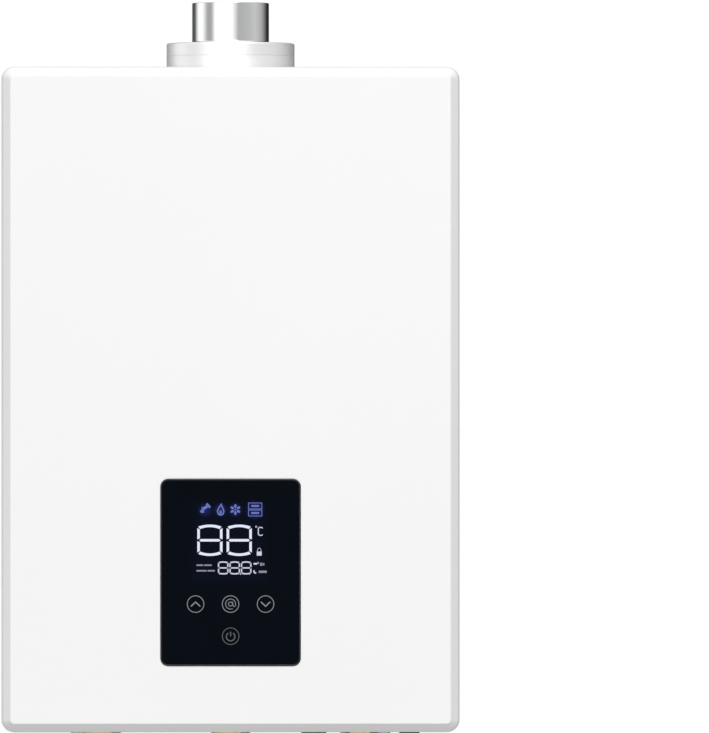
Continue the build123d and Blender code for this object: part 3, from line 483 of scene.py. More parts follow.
def buildCover():
    look = coverLook
    low, high = boxCorners("front_cover")
    high[2] = -low[2]
    bezelLow, bezelHigh = boxCorners("panel_bezel")
    midZ = (bezelLow[2] + bezelHigh[2]) / 2
    holeWide = bezelHigh[0] + look["holeGap"]
    holeHigh = (bezelHigh[2] - bezelLow[2]) / 2 + look["holeGap"]
    outer = bevelProfile(0)
    inner = bevelProfile(look["wall"])
    loops = [coverLoop(0, high[1], low, high)]
    loops.append(coverLoop(0, low[1] + outer[0][1] + look["hold"], low, high))
    loops += [coverLoop(inset, low[1] + depth, low, high) for inset, depth in outer]
    loops.append(coverLoop(outer[-1][0] + look["hold"], low[1], low, high))
    rim = look["rim"]
    for grow, y in ((rim + look["hold"], low[1]), (rim, low[1]), (rim * 0.3, low[1] + rim * 0.3),
                    (0, low[1] + rim), (0, low[1] + look["wall"]),
                    (look["hold"], low[1] + look["wall"])):
        loops.append(frontLoop(holeWide + grow, holeHigh + grow, look["holeCorner"] + grow, y, midZ))
    loops.append(coverLoop(inner[-1][0] + look["hold"], low[1] + look["wall"], low, high))
    loops += [coverLoop(inset, low[1] + depth, low, high) for inset, depth in reversed(inner)]
    loops.append(coverLoop(look["wall"], low[1] + inner[0][1] + look["hold"], low, high))
    loops.append(coverLoop(look["wall"], high[1], low, high))
    cover = loopsObject("coverShell", loops, slotFinish["casing_white"])
    collarLow, collarHigh = boxCorners("flue_collar")
    flueY = (collarLow[1] + collarHigh[1]) / 2
    hole = look["flueHole"]
    topLow = high[2] - look["cutDepth"]
    topHigh = high[2] + look["cutDepth"]
    baseLow = low[2] - look["cutDepth"]
    baseHigh = low[2] + look["cutDepth"]
    back = high[1] + 5
    cutters = [rodObject("cutFlue", (0, flueY), hole, topLow, topHigh, 128),
               blockObject("cutNotch", (-hole, flueY, topLow), (hole, back, topHigh)),
               blockObject("cutUnder", (low[0] + look["sideStrip"], low[1] + look["lip"], baseLow),
                           (high[0] - look["sideStrip"], back, baseHigh))]
    for side in (-1, 1):
        cutters.append(rodObject("cutScrew", (side * look["screwX"], low[1] + look["screwBack"]),
                                 look["screwHole"], baseLow, baseHigh, 32))
    cutWith(cover, cutters)
    tidyMesh(cover.data, slotFinish["casing_white"], 32)
    return settle(cover, "cover", ["front_cover"])


# glass touch panel with its thin black rim
panelLook = {"bezelWidth": 1.2, "bezelCorner": 6.2, "bezelRound": 0.35, "glassRound": 0.25,
             "glassInset": 1.25}


def buildBezel():
    look = panelLook
    low, high = boxCorners("panel_bezel")
    midZ = (low[2] + high[2]) / 2
    wide = high[0]
    tall = (high[2] - low[2]) / 2
    soft = look["bezelRound"]
    ring = [(0, high[1]), (0, low[1] + soft), (soft * 0.3, low[1] + soft * 0.3), (soft, low[1]),
            (look["bezelWidth"] - soft, low[1]), (look["bezelWidth"] - soft * 0.3, low[1] + soft * 0.3),
            (look["bezelWidth"], low[1] + soft), (look["bezelWidth"], high[1])]
    loops = [frontLoop(wide - inset, tall - inset, look["bezelCorner"] - inset, y, midZ)
             for inset, y in ring]
    bezel = loopsObject("panelRim", loops, slotFinish["bezel_black"], sharp=50)
    return settle(bezel, "cover", ["panel_bezel"])


def buildGlass():
    look = panelLook
    low, high = boxCorners("glass_panel")
    midZ = (low[2] + high[2]) / 2
    wide = high[0]
    tall = (high[2] - low[2]) / 2
    corner = look["bezelCorner"] - look["glassInset"]
    soft = look["glassRound"]
    edge = [(0, high[1]), (0, low[1] + soft), (soft * 0.3, low[1] + soft * 0.3), (soft, low[1]),
            (soft + 0.3, low[1])]
    loops = [frontLoop(wide - inset, tall - inset, corner - inset, y, midZ) for inset, y in edge]
    verts = [point for loop in loops for point in loop]
    count = len(loops[0])
    faces = stripFaces(len(loops), count, False)
    faces.append(tuple(range(count)))
    faces.append(tuple(range(len(verts) - count, len(verts))))
    glass = makeObject("panelGlass", verts, faces, slotFinish["panel_glass"], 50)
    return settle(glass, "cover", ["glass_panel"])


# flue adapter: satin sleeve, cap with a hollow neck, bright pipe
flueLook = {"wall": 0.8, "slip": 0.05, "seamEdge": 0.04, "bead": 1.5, "beadLift": 2.5, "capEdge": 1.4,
            "neck": 2.0, "pipe": 30.0, "lip": 0.4, "skirt": 10.0, "segments": 192}


def buildCollar():
    look = flueLook
    low, high = boxCorners("flue_collar")
    capLow, capHigh = boxCorners("flue_spigot")
    centre = (0, (low[1] + high[1]) / 2)
    outer = capHigh[0]
    sleeve = outer - look["wall"] - look["slip"]
    beadZ = low[2] + look["beadLift"]
    seam = capLow[2] - 0.2
    edge = look["seamEdge"]
    profile = [(sleeve - look["wall"], low[2]), (outer, low[2])]
    profile += arcPoints(outer, beadZ, look["bead"], -90, 90, 12)
    profile += [(outer, seam - edge - 0.4), (outer, seam - edge), (outer - edge, seam), (sleeve, seam),
                (sleeve, high[2]), (sleeve - look["wall"], high[2])]
    verts, faces = turnedMesh(profile, centre, look["segments"])
    collar = makeObject("flueCollar", verts, faces, slotFinish["flue_satin"], 35)
    return settle(collar, "flue_adapter", ["flue_collar"])


def buildSpigot():
    look = flueLook
    low, high = boxCorners("flue_spigot")
    centre = (0, (low[1] + high[1]) / 2)
    outer = high[0]
    inner = outer - look["wall"]
    shoulder = low[2] + look["skirt"]
    under = shoulder - look["wall"]
    neck = look["neck"]
    pipe = look["pipe"]
    bore = pipe - look["wall"]
    edge = look["capEdge"]
    lip = look["lip"]
    seam = look["seamEdge"]
    foot = pipe + neck
    capProfile = [(inner, low[2]), (outer - seam, low[2]), (outer, low[2] + seam),
                  (outer, low[2] + 0.6), (outer, shoulder - edge - 0.4)]
    capProfile += arcPoints(outer - edge, shoulder - edge, edge, 0, 90, 8)
    capProfile += [(foot + 0.5, shoulder), (foot, shoulder), (foot, under), (inner, under)]
    verts, faces = turnedMesh(capProfile, centre, look["segments"])
    cap = makeObject("flueCap", verts, faces, slotFinish["flue_satin"], 35)
    settle(cap, "flue_adapter", [])
    pipeProfile = arcPoints(foot, shoulder + neck, neck, 270, 180, 12)
    pipeProfile += [(pipe, shoulder + neck + 0.5), (pipe, high[2] - lip - 0.4)]
    pipeProfile += arcPoints(pipe - lip, high[2] - lip, lip, 0, 180, 10)
    pipeProfile += [(bore, shoulder + neck + 0.5)]
    pipeProfile += arcPoints(foot, shoulder + neck, neck + look["wall"], 180, 270, 12)
    verts, faces = turnedMesh(pipeProfile, centre, look["segments"])
    spigot = makeObject("fluePipe", verts, faces, slotFinish["flue_bright"], 35)
    return settle(spigot, "flue_adapter", ["flue_spigot"])


buildCover()
buildBezel()
buildGlass()
buildCollar()
buildSpigot()
print("casing, panel and flue built")


# symbols on the glass: places in millimetres from the panel's middle, u to the right, v up
graphicLook = {"rise": 0.23, "thick": 0.04, "bigStroke": 1.95, "bigGap": 0.42, "smallStroke": 1.02,
               "smallGap": 0.3, "tip": 0.04, "ringRadius": 6.7, "ringLine": 0.55, "markLine": 0.85,
               "signLine": 0.52, "keyV": -24.6, "keyU": 27.1, "powerU": 0.05}


# collects flat outlines and turns them into one thin mesh
class Print:
    def __init__(self):
        self.verts = []
        self.faces = []

    def ribbon(self, left, right, closed=False):
        low, high = boxCorners("glass_panel")
        midZ = (low[2] + high[2]) / 2 + graphicLook["rise"]
        base = len(self.verts)
        count = len(left)
        for y in (low[1], low[1] - graphicLook["thick"]):
            for line in (left, right):
                self.verts += [(u * mm, y * mm, (v + midZ) * mm) for u, v in line]
        for i in range(count if closed else count - 1):
            j = (i + 1) % count
            a, b, c, d = (base + i, base + j, base + count + j, base + count + i)
            e, f, g, h = (value + 2 * count for value in (a, b, c, d))
            self.faces += [(a, b, c, d), (e, h, g, f), (a, e, f, b), (d, c, g, h)]
        if not closed:
            for i in (0, count - 1):
                a, d = base + i, base + count + i
                self.faces.append((a, d, d + 2 * count, a + 2 * count))

    # line of even width through points
    def stroke(self, points, width, closed=False):
        left = []
        right = []
        count = len(points)
        for i in range(count):
            before = points[(i - 1) % count] if closed or i else points[0]
            after = points[(i + 1) % count] if closed or i < count - 1 else points[-1]
            first = Vector((points[i][0] - before[0], points[i][1] - before[1]))
            second = Vector((after[0] - points[i][0], after[1] - points[i][1]))
            first = first.normalized() if first.length else second.normalized()
            second = second.normalized() if second.length else first
            along = (first + second).normalized()
            reach = width / 2 / max(along.dot(first), 0.4)
            left.append((points[i][0] - along.y * reach, points[i][1] + along.x * reach))
            right.append((points[i][0] + along.y * reach, points[i][1] - along.x * reach))
        self.ribbon(left, right, closed)

    def arc(self, midU, midV, radius, start, end, width, steps=40):
        ring = abs(end - start) >= 360
        points = []
        for step in range(steps if ring else steps + 1):
            turn = radians(start + (end - start) * step / steps)
            points.append((midU + radius * cos(turn), midV + radius * sin(turn)))
        self.stroke(points, width, ring)

    # filled oval, drawn as a fat ribbon along its long axis
    def oval(self, midU, midV, halfLong, halfWide, tilt=0.0, steps=12):
        left = []
        right = []
        turn = radians(tilt)
        for step in range(steps + 1):
            along = -cos(pi * step / steps) * halfLong
            across = max(sin(pi * step / steps), 0.02) * halfWide
            for line, side in ((left, across), (right, -across)):
                line.append((midU + along * cos(turn) - side * sin(turn),
                             midV + along * sin(turn) + side * cos(turn)))
        self.ribbon(left, right)

    def bar(self, u0, u1, midV, width):
        self.stroke([(u0, midV), (u1, midV)], width)

    # seven-segment figure with arched top and bottom bars; ends are mitred by parts of the stroke
    def figure(self, midU, midV, halfWide, halfHigh, stroke, gap, arch):
        reach = halfWide - stroke / 2 - gap
        top = halfHigh - stroke / 2 - arch - gap
        for up in (-1, 1):
            for side in (-1, 1):
                outer = midU + side * halfWide
                inner = outer - side * stroke
                self.ribbon([(outer, midV + up * (gap + stroke * 0.15)),
                             (outer, midV + up * (top + stroke * 0.1))],
                            [(inner, midV + up * (gap + stroke * 0.55)),
                             (inner, midV + up * (top - stroke * 0.5))])
            over = []
            under = []
            for step in range(13):
                t = step / 6 - 1
                high = halfHigh - arch * t * t
                over.append((midU + t * (reach + stroke * 0.3), midV + up * high))
                under.append((midU + t * (reach - stroke * 0.4), midV + up * (high - stroke)))
            self.ribbon(over, under)
        end = reach - stroke * 0.1
        flat = end - stroke * 0.5
        tip = graphicLook["tip"]
        bar = [(-end, tip), (-flat, stroke / 2), (flat, stroke / 2), (end, tip)]
        self.ribbon([(midU + u, midV + v) for u, v in bar], [(midU + u, midV - v) for u, v in bar])

    def build(self, name, finish):
        made = makeObject(name, self.verts, self.faces, finish, 20)
        return settle(made, "cover", [])


def buildWhiteFigures():
    look = graphicLook
    white = Print()
    for u in (-16.0, 6.7):
        white.figure(u, 24.8, 9.75, 12.15, look["bigStroke"], look["bigGap"], 1.5)
    white.build("displayFigures", symbolFinish["lampWhite"])
    fine = Print()
    for u in (-5.7, 3.2, 12.1):
        fine.figure(u, 3.4, 4.1, 5.1, look["smallStroke"], look["smallGap"], 0.5)
    fine.oval(7.65, -1.2, 0.55, 0.55)
    # padlock
    fine.bar(20.3, 24.1, 14.5, 3.2)
    fine.stroke([(20.75, 16.1), (20.75, 17.4), (21.25, 18.4), (22.2, 18.8), (23.15, 18.4),
                 (23.65, 17.4), (23.65, 16.1)], 0.36)
    # degrees sign
    fine.arc(19.9, 35.3, 0.6, 0, 360, 0.35, 20)
    fine.stroke([(24.9, 34.1), (24.1, 34.8), (22.4, 34.8), (21.5, 33.9), (21.5, 29.5), (22.4, 28.6),
                 (24.1, 28.6), (24.9, 29.2)], 0.75)
    fine.bar(17.8, 20.6, 6.6, 1.3)
    fine.stroke([(18.0, 1.5), (18.4, -0.2), (19.8, -0.6)], 1.0)
    fine.build("displayFine", symbolFinish["lampFine"])
    # small print as plain bars
    pale = Print()
    for u0, u1, v, width in ((-26.4, -21.2, 5.5, 1.15), (-20.4, -14.6, 5.5, 1.15),
                             (-26.4, -18.6, 1.2, 1.15), (-17.8, -12.2, 1.2, 1.15),
                             (20.6, 22.0, 7.2, 1.5), (22.9, 24.6, 6.2, 2.4), (25.0, 26.2, 6.2, 1.8),
                             (21.8, 28.0, 0.4, 1.7)):
        pale.bar(u0, u1, v, width)
    pale.build("displayPale", symbolFinish["lampPale"])


def buildBlueIcons():
    # shower, flame, fan and a framed pair of lines
    blue = Print()
    blue.stroke([(-23.0, 46.4), (-20.4, 49.6), (-17.4, 51.6)], 2.1)
    blue.stroke([(-18.6, 53.2), (-15.9, 50.2)], 1.7)
    blue.stroke([(-21.9, 50.4), (-21.0, 46.2)], 1.3)
    blue.stroke([(-7.3, 52.6), (-9.3, 49.7), (-10.2, 47.3), (-9.4, 45.1), (-7.7, 44.3), (-5.9, 45.1),
                 (-5.2, 47.3), (-6.1, 49.7)], 1.0, True)
    blue.oval(-7.7, 46.6, 1.6, 0.8, 90)
    for index in range(6):
        turn = 30 + 60 * index
        blue.oval(3.7 + 2.75 * cos(radians(turn)), 48.6 + 2.75 * sin(radians(turn)), 1.45, 0.95, turn)
    blue.oval(3.7, 48.6, 0.7, 0.7)
    for v in (51.4, 45.9):
        blue.stroke([(13.9, v - 2.3), (24.2, v - 2.3), (24.2, v + 2.3), (13.9, v + 2.3)], 0.55, True)
        blue.bar(16.0, 22.1, v, 1.5)
    blue.build("displayIcons", symbolFinish["lampBlue"])


def buildTouchKeys():
    look = graphicLook
    ring = look["ringRadius"] - look["ringLine"] / 2
    keyU = look["keyU"]
    keyV = look["keyV"]
    line = look["signLine"]
    keys = Print()
    for u in (-keyU, 0.0, keyU):
        keys.arc(u, keyV, ring, 0, 360, look["ringLine"], 64)
    keys.stroke([(-keyU - 3.6, keyV - 1.8), (-keyU, keyV + 1.6), (-keyU + 3.6, keyV - 1.8)],
                look["markLine"])
    keys.stroke([(keyU - 3.6, keyV + 1.7), (keyU, keyV - 1.7), (keyU + 3.6, keyV + 1.7)],
                look["markLine"])
    keys.arc(-0.1, keyV, 1.6, 0, 360, line, 32)
    keys.arc(0.0, keyV, 3.9, -20, 295, line, 48)
    keys.stroke([(1.6, -22.9), (1.75, -25.4), (2.4, -26.5), (3.2, -26.5), (3.68, -25.9)], line)
    keys.build("touchKeys", symbolFinish["keyGrey"])
    power = Print()
    power.arc(look["powerU"], -49.5, ring, 0, 360, look["ringLine"], 64)
    power.arc(look["powerU"], -49.8, 3.3, 125, 415, look["markLine"], 40)
    power.stroke([(look["powerU"], -46.0), (look["powerU"], -49.6)], look["markLine"])
    power.build("powerKey", symbolFinish["keyDim"])


buildWhiteFigures()
buildBlueIcons()
buildTouchKeys()
print("panel symbols built")


# node trees for repeated shapes
def startTree(name, inputs):
    tree = bpy.data.node_groups.new(name, "GeometryNodeTree")
    tree.interface.new_socket("Points", in_out="INPUT", socket_type="NodeSocketGeometry")
    for label, kind in inputs.items():
        tree.interface.new_socket(label, in_out="INPUT", socket_type="NodeSocket" + kind)
    tree.interface.new_socket("Shape", in_out="OUTPUT", socket_type="NodeSocketGeometry")
    entry = tree.nodes.new("NodeGroupInput")
    return tree, {socket.name: Wire(tree, socket) for socket in entry.outputs if socket.name}


def endTree(tree, copies, finish):
    real = copies.node("GeometryNodeRealizeInstances", {}, {0: copies})
    coated = real.node("GeometryNodeSetMaterial", {}, {"Geometry": real, "Material": finish})
    last = tree.nodes.new("NodeGroupOutput")
    tree.links.new(coated.socket, last.inputs[0])
    return tree


# copies of one object on points, each turned to the direction stored on its point
def copyTree():
    tree, given = startTree("copiesOnPoints", {"Copy": "Object", "Copy Size": "Float",
                                               "Finish": "Material"})
    facing = given["Points"].node("GeometryNodeInputNamedAttribute", {"data_type": "FLOAT_VECTOR"},
                                  {"Name": "facing"})
    turn = facing.node("FunctionNodeAlignRotationToVector", {"axis": "Z"}, {"Vector": facing})
    shape = turn.node("GeometryNodeObjectInfo", {}, {"Object": given["Copy"], "As Instance": True},
                      "Geometry")
    dots = shape.node("GeometryNodeMeshToPoints", {}, {"Mesh": given["Points"]})
    copies = dots.node("GeometryNodeInstanceOnPoints", {},
                       {"Points": dots, "Instance": shape, "Rotation": turn,
                        "Scale": given["Copy Size"]})
    return endTree(tree, copies, given["Finish"])


# stacks of ridge rings that run down from each point
def ridgeTree():
    tree, given = startTree("ridgeStacks", {"Ridge Radius": "Float", "Ridge Depth": "Float",
                                            "Step": "Float", "Count": "Int", "Finish": "Material"})
    drop = given["Step"].node("ShaderNodeCombineXYZ", {}, {"Z": 0.0 - given["Step"]})
    line = drop.node("GeometryNodeMeshLine", {}, {"Count": given["Count"], "Offset": drop})
    stacks = line.node("GeometryNodeInstanceOnPoints", {},
                       {"Points": given["Points"], "Instance": line})
    places = stacks.node("GeometryNodeRealizeInstances", {}, {0: stacks})
    circle = places.node("GeometryNodeCurvePrimitiveCircle", {},
                         {"Resolution": 72, "Radius": given["Ridge Radius"]})
    edge = places.node("GeometryNodeCurvePrimitiveCircle", {},
                       {"Resolution": 6, "Radius": given["Ridge Depth"]})
    ring = circle.node("GeometryNodeCurveToMesh", {}, {"Curve": circle, "Profile Curve": edge})
    rings = ring.node("GeometryNodeInstanceOnPoints", {}, {"Points": places, "Instance": ring})
    return endTree(tree, rings, given["Finish"])


def runTree(name, tree, points, values, finish, facings=None):
    mesh = bpy.data.meshes.new(name)
    mesh.from_pydata([(x * mm, y * mm, z * mm) for x, y, z in points], [], [])
    if facings:
        store = mesh.attributes.new("facing", "FLOAT_VECTOR", "POINT")
        for item, facing in zip(store.data, facings):
            item.vector = facing
    made = bpy.data.objects.new(name, mesh)
    bpy.context.collection.objects.link(made)
    step = made.modifiers.new("copies", "NODES")
    step.node_group = tree
    for socket in tree.interface.items_tree:
        if socket.in_out == "INPUT" and socket.name in values:
            step[socket.identifier] = values[socket.name]
        if socket.in_out == "INPUT" and socket.name == "Finish":
            step[socket.identifier] = finish
    keepResult(made)
    tidyMesh(made.data, finish, 32)
    return made


pointCopies = copyTree()
ridgeStacks = ridgeTree()


# cross-recessed screws
screwLook = {"headRadius": 4.0, "head": 2.5, "shank": 2.0, "cross": 2.3, "crossWide": 0.75,
             "crossDeep": 1.1, "smallHead": 3.2, "rim": 0.25, "steps": 7}


def screwShape(headRadius, shankLength):
    look = screwLook
    shank = look["shank"]
    rim = look["rim"]
    profile = [(0.01, shankLength), (shank - 0.3, shankLength), (shank, shankLength - 0.4),
               (shank, 0), (headRadius - 0.2, 0), (headRadius, -rim)]
    for step in range(1, look["steps"] + 1):
        turn = radians(90 * step / look["steps"])
        profile.append((max(headRadius * cos(turn), 0.01), -rim - (look["head"] - rim) * sin(turn)))
    verts, faces = turnedMesh(profile, (0, 0), 40)
    shape = makeObject("screwShape", verts, faces, slotFinish["screw_steel"])
    half = look["crossWide"] / 2
    start = -look["head"] - 1
    end = look["crossDeep"] - look["head"]
    cutters = [blockObject("crossA", (-look["cross"], -half, start), (look["cross"], half, end)),
               blockObject("crossB", (-half, -look["cross"], start), (half, look["cross"], end))]
    cutWith(shape, cutters)
    return shape


def buildScrews(name, node, body, places, facing, headRadius, shankLength):
    shape = screwShape(headRadius, shankLength)
    made = runTree(name, pointCopies, places, {"Copy": shape, "Copy Size": 1.0},
                   slotFinish["screw_steel"], [facing] * len(places))
    bpy.data.objects.remove(shape)
    return settle(made, body, [node])


def buildAllScrews():
    look = screwLook
    low, high = boxCorners("cover_screws")
    y = (low[1] + high[1]) / 2
    x = high[0] - look["headRadius"]
    z = low[2] + look["head"]
    buildScrews("coverScrews", "cover_screws", "cover", [(-x, y, z), (x, y, z)], (0, 0, 1),
                look["headRadius"], high[2] - z)
    low, high = boxCorners("chassis_screws")
    x = high[0] - look["headRadius"]
    z = high[2] - look["headRadius"]
    y = low[1] + look["head"]
    places = [(x * part, y, side * z) for side in (-1, 1) for part in (-1, -1 / 3, 1 / 3, 1)]
    buildScrews("chassisScrews", "chassis_screws", "chassis", places, (0, 1, 0),
                look["headRadius"], high[1] - y)
    low, high = boxCorners("motor_screws")
    y = low[1] + look["head"]
    places = [(x, y, z) for x in (low[0] + look["smallHead"], high[0] - look["smallHead"])
              for z in (low[2] + look["smallHead"], high[2] - look["smallHead"])]
    buildScrews("motorScrews", "motor_screws", "chassis", places, (0, 1, 0),
                look["smallHead"], high[1] - y)


# pipe connections underneath
pipeLook = {"thread": 10.48, "ridge": 0.55, "step": 1.8, "bore": 7.0, "shank": 10.78, "flange": 15.0,
            "flangeThick": 4.0, "tube": 10.0, "tubeBore": 7.5, "across": 27.0, "nutBevel": 1.1,
            "nutRim": 1.005, "nutSteps": 96}
connectorNodes = ["hot_outlet_connector", "gas_inlet_connector", "cold_inlet_connector"]


def connectorProfile(low, high, nutLow, flangeLow, long):
    look = pipeLook
    bore = look["bore"]
    flange = look["flange"]
    core = look["thread"] - 2 * look["ridge"] * 0.8
    top = flangeLow + look["flangeThick"]
    profile = [(bore, low + 0.5), (bore + 0.5, low), (core - 0.6, low), (core, low + 0.7),
               (core, nutLow - 0.6), (look["shank"], nutLow), (look["shank"], flangeLow),
               (flange, flangeLow), (flange, top - 0.4), (flange - 0.4, top)]
    if long:
        profile += [(look["tube"], top), (look["tube"], high), (look["tubeBore"], high),
                    (look["tubeBore"], top), (bore, top)]
    else:
        profile.append((bore, high))
    return profile


def buildConnectors():
    look = pipeLook
    nutLow = boxCorners("connector_nuts")[0][2]
    flangeLow = boxCorners("bottom_panel")[0][2] + 1.2
    verts = []
    faces = []
    starts = []
    for node in connectorNodes:
        low, high = boxCorners(node)
        centre = ((low[0] + high[0]) / 2, (low[1] + high[1]) / 2)
        profile = connectorProfile(low[2], high[2], nutLow, flangeLow, node == "gas_inlet_connector")
        base = len(verts)
        points, strips = turnedMesh(profile, centre, 72)
        verts += points
        faces += [tuple(index + base for index in face) for face in strips]
        starts.append((centre[0], centre[1], nutLow - 1.4))
    body = makeObject("pipeConnectors", verts, faces, slotFinish["brass"], 30)
    settle(body, "chassis", connectorNodes)
    count = int((nutLow - low[2] - 2.4) / look["step"]) + 1
    sizes = {"Ridge Radius": (look["thread"] - look["ridge"]) * mm, "Ridge Depth": look["ridge"] * mm,
             "Step": look["step"] * mm, "Count": count}
    ridges = runTree("threadRidges", ridgeStacks, starts, sizes, slotFinish["brass"])
    settle(ridges, "chassis", [])


def buildNuts():
    look = pipeLook
    low, high = boxCorners("connector_nuts")
    half = look["across"] / 2
    bore = look["shank"] + 0.05
    middles = [low[0] + (high[0] - low[0]) / 2]
    reach = boxCorners("cold_inlet_connector")
    side = (reach[0][0] + reach[1][0]) / 2
    middles += [-side, side]
    y = (reach[0][1] + reach[1][1]) / 2
    verts = []
    faces = []
    count = look["nutSteps"]
    bevel = look["nutBevel"]
    rim = half * look["nutRim"]
    whole = 2 * half
    # height of each ring and how far its corners reach; none for the bore
    rings = [(low[2], rim), (low[2] + bevel, whole), (high[2] - bevel, whole), (high[2], rim),
             (high[2], None), (low[2], None)]
    for x in middles:
        base = len(verts)
        for z, limit in rings:
            for step in range(count):
                turn = 2 * pi * step / count
                corner = (turn + pi / 6) % (pi / 3) - pi / 6
                radius = bore if limit is None else min(half / cos(corner), limit)
                turn += pi / 6
                verts.append(((x + radius * cos(turn)) * mm, (y + radius * sin(turn)) * mm, z * mm))
        faces += [tuple(index + base for index in face) for face in stripFaces(len(rings), count)]
    nuts = makeObject("connectorNuts", verts, faces, slotFinish["brass"], 20)
    settle(nuts, "chassis", ["connector_nuts"])


# drain plug with a ribbed head and a finger wing
drainLook = {"stem": 6.0, "headRadius": 10.0, "head": 5.0, "wing": 4.0, "wingRound": 1.4,
             "ribs": 36, "rib": 0.35, "soft": 0.6}


def buildDrainPlug():
    look = drainLook
    low, high = boxCorners("drain_plug")
    centre = ((low[0] + high[0]) / 2, (low[1] + high[1]) / 2)
    headTop = boxCorners("bottom_panel")[0][2] - 0.2
    headLow = headTop - look["head"]
    core = look["headRadius"] - look["rib"]
    profile = [(0.01, high[2]), (look["stem"] - 0.5, high[2]), (look["stem"], high[2] - 0.5),
               (look["stem"], headTop), (core - 0.3, headTop), (core, headTop - 0.3),
               (core, headLow + look["soft"])]
    profile += arcPoints(core - look["soft"], headLow + look["soft"], look["soft"], 0, -90, 5)[1:]
    profile.append((0.01, headLow))
    verts, faces = turnedMesh(profile, centre, 72)
    plug = makeObject("drainPlug", verts, faces, slotFinish["black_plastic"], 35)
    settle(plug, "drain_plug", ["drain_plug"])
    wing = blockObject("drainWing", (low[0], centre[1] - look["wing"] / 2, low[2]),
                       (high[0], centre[1] + look["wing"] / 2, headLow + 0.2))
    shape = bmesh.new()
    shape.from_mesh(wing.data)
    limit = (low[2] + 0.1) * mm
    lower = [edge for edge in shape.edges if min(vert.co.z for vert in edge.verts) < limit]
    bmesh.ops.bevel(shape, geom=lower, offset=look["wingRound"] * mm, segments=4, profile=0.5,
                    affect="EDGES")
    shape.to_mesh(wing.data)
    shape.free()
    tidyMesh(wing.data, slotFinish["black_plastic"], 35)
    settle(wing, "drain_plug", [])
    rib = rodObject("ribShape", (0, 0), look["rib"], 0, look["head"] - look["soft"] - 0.6, 8)
    ribLow = headLow + look["soft"] + 0.1
    places = []
    for index in range(look["ribs"]):
        turn = 2 * pi * index / look["ribs"]
        places.append((centre[0] + core * cos(turn), centre[1] + core * sin(turn), ribLow))
    ribs = runTree("drainRibs", pointCopies, places, {"Copy": rib, "Copy Size": 1.0},
                   slotFinish["black_plastic"], [(0, 0, 1)] * len(places))
    bpy.data.objects.remove(rib)
    settle(ribs, "drain_plug", [])


buildAllScrews()
buildConnectors()
buildNuts()
buildDrainPlug()
print("screws and connections built")


# studio: white backdrop, soft room with bright and dark strips, pale floor, long lens
studioLook = {"lens": 500.0, "distance": 7.886, "aimX": 0.096, "aimZ": 0.02563, "floorZ": -0.95,
              "floorHalf": 1.2, "roomGlow": 0.42, "roofFront": 1.25, "roofBack": 0.42, "underGlow": 0.12,
              "keyPlace": (0.36, -4.1, 2.88), "keyAim": (0, -0.14, 0.05), "keySize": 2.5,
              "keyPower": 190.0}
# brightness of the room's walls, once round from behind
wallBands = [(0.0, 0.20), (0.085, 0.07), (0.13, 0.12), (0.19, 1.15), (0.24, 1.15), (0.295, 0.42),
             (0.335, 0.42), (0.375, 1.30), (0.50, 1.30), (0.565, 0.46), (0.66, 0.54), (0.72, 0.62),
             (0.79, 0.46), (0.855, 0.14), (0.89, 0.02), (0.96, 0.02), (1.0, 0.30)]


def grey(value):
    return (value, value, value, 1)


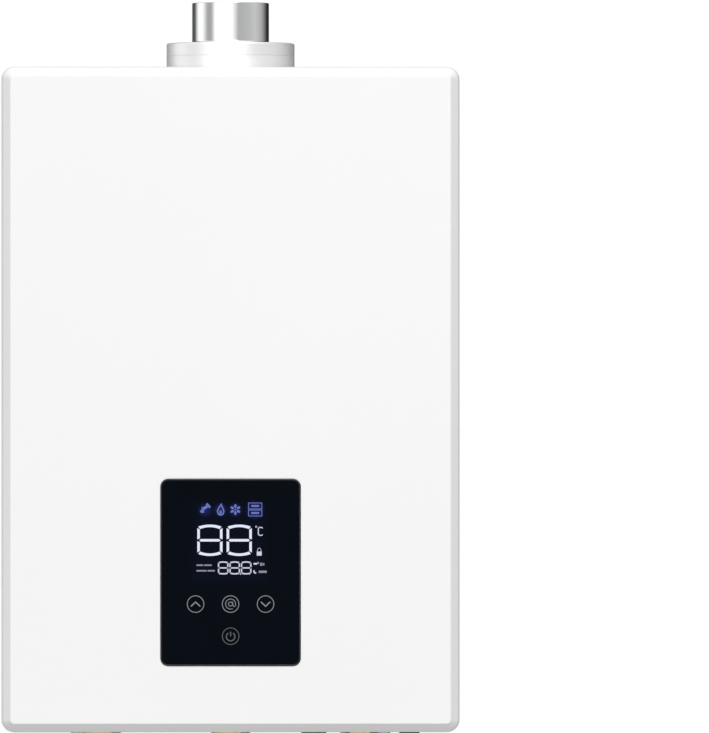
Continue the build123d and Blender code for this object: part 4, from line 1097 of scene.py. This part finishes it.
def buildWorld():
    look = studioLook
    world = bpy.data.worlds.new("studioRoom")
    bpy.context.scene.world = world
    world.use_nodes = True
    tree = world.node_tree
    tree.nodes.clear()
    direction = Wire(tree, tree.nodes.new("ShaderNodeTexCoord").outputs["Generated"])
    x, y, z = direction.axes()
    azimuth = x.maths("ARCTAN2", x, 0.0 - y) / (2 * pi) + 0.5
    stops = [(place, grey(value)) for place, value in wallBands]
    walls = azimuth.node("ShaderNodeValToRGB", {"stops": stops}, {0: azimuth})
    height = z.node("ShaderNodeMapRange", {}, {0: z, 1: 0.35, 2: 0.85})
    below = z.node("ShaderNodeMapRange", {}, {0: z, 1: -0.15, 2: -0.5})
    behind = y.node("ShaderNodeMapRange", {}, {0: y, 1: -0.1, 2: 0.3})
    roof = behind.mixed(grey(look["roofFront"]), grey(look["roofBack"]))
    room = below.mixed(height.mixed(walls, roof), grey(look["underGlow"]))
    rays = tree.nodes.new("ShaderNodeLightPath")
    seen = Wire(tree, rays.outputs["Is Camera Ray"])
    spread = Wire(tree, rays.outputs["Is Diffuse Ray"])
    shown = seen.mixed(room, grey(1.0))
    glow = 1.0 - (1.0 - look["roomGlow"]) * spread
    background = glow.node("ShaderNodeBackground", {}, {"Color": shown, "Strength": glow})
    output = tree.nodes.new("ShaderNodeOutputWorld")
    tree.links.new(background.socket, output.inputs[0])


def buildFloor():
    look = studioLook
    half = look["floorHalf"]
    corners = [(-half, -half), (half, -half), (half, half), (-half, half)]
    mesh = bpy.data.meshes.new("studioFloor")
    mesh.from_pydata([(x, y, look["floorZ"]) for x, y in corners], [], [(0, 1, 2, 3)])
    finish, place, feed = startFinish("floorPale", {"Specular IOR Level": 0.1})
    feed("Base Color", place.noise(3.0, 2.0).tint((0.76, 0.76, 0.76), (0.80, 0.80, 0.80)))
    # seen from below, the floor is clear
    feed("Alpha", 1.0 - place.node("ShaderNodeNewGeometry", {}, {}, "Backfacing"))
    mesh.materials.append(finish)
    ground = bpy.data.objects.new("studioFloor", mesh)
    bpy.context.collection.objects.link(ground)


def buildKeyLight():
    look = studioLook
    lamp = bpy.data.lights.new("keyLight", "AREA")
    lamp.shape = "DISK"
    lamp.size = look["keySize"]
    lamp.energy = look["keyPower"]
    stand = bpy.data.objects.new("keyLight", lamp)
    stand.location = look["keyPlace"]
    aim = Vector(look["keyAim"]) - Vector(look["keyPlace"])
    stand.rotation_euler = aim.to_track_quat("-Z", "Y").to_euler()
    bpy.context.collection.objects.link(stand)


def buildCamera():
    look = studioLook
    front = cadBounds[0][1] + 0.0005
    lens = bpy.data.cameras.new("frontCamera")
    lens.lens = look["lens"]
    lens.sensor_width = 36.0
    lens.clip_end = 100.0
    camera = bpy.data.objects.new("frontCamera", lens)
    camera.location = (0, front - look["distance"], look["aimZ"])
    aim = Vector((look["aimX"], front, look["aimZ"]))
    camera.rotation_euler = (aim - camera.location).to_track_quat("-Z", "Y").to_euler()
    bpy.context.collection.objects.link(camera)
    bpy.context.scene.camera = camera


buildWorld()
buildFloor()
buildKeyLight()
buildCamera()
bpy.context.scene.view_settings.view_transform = "Standard"
print("studio built")
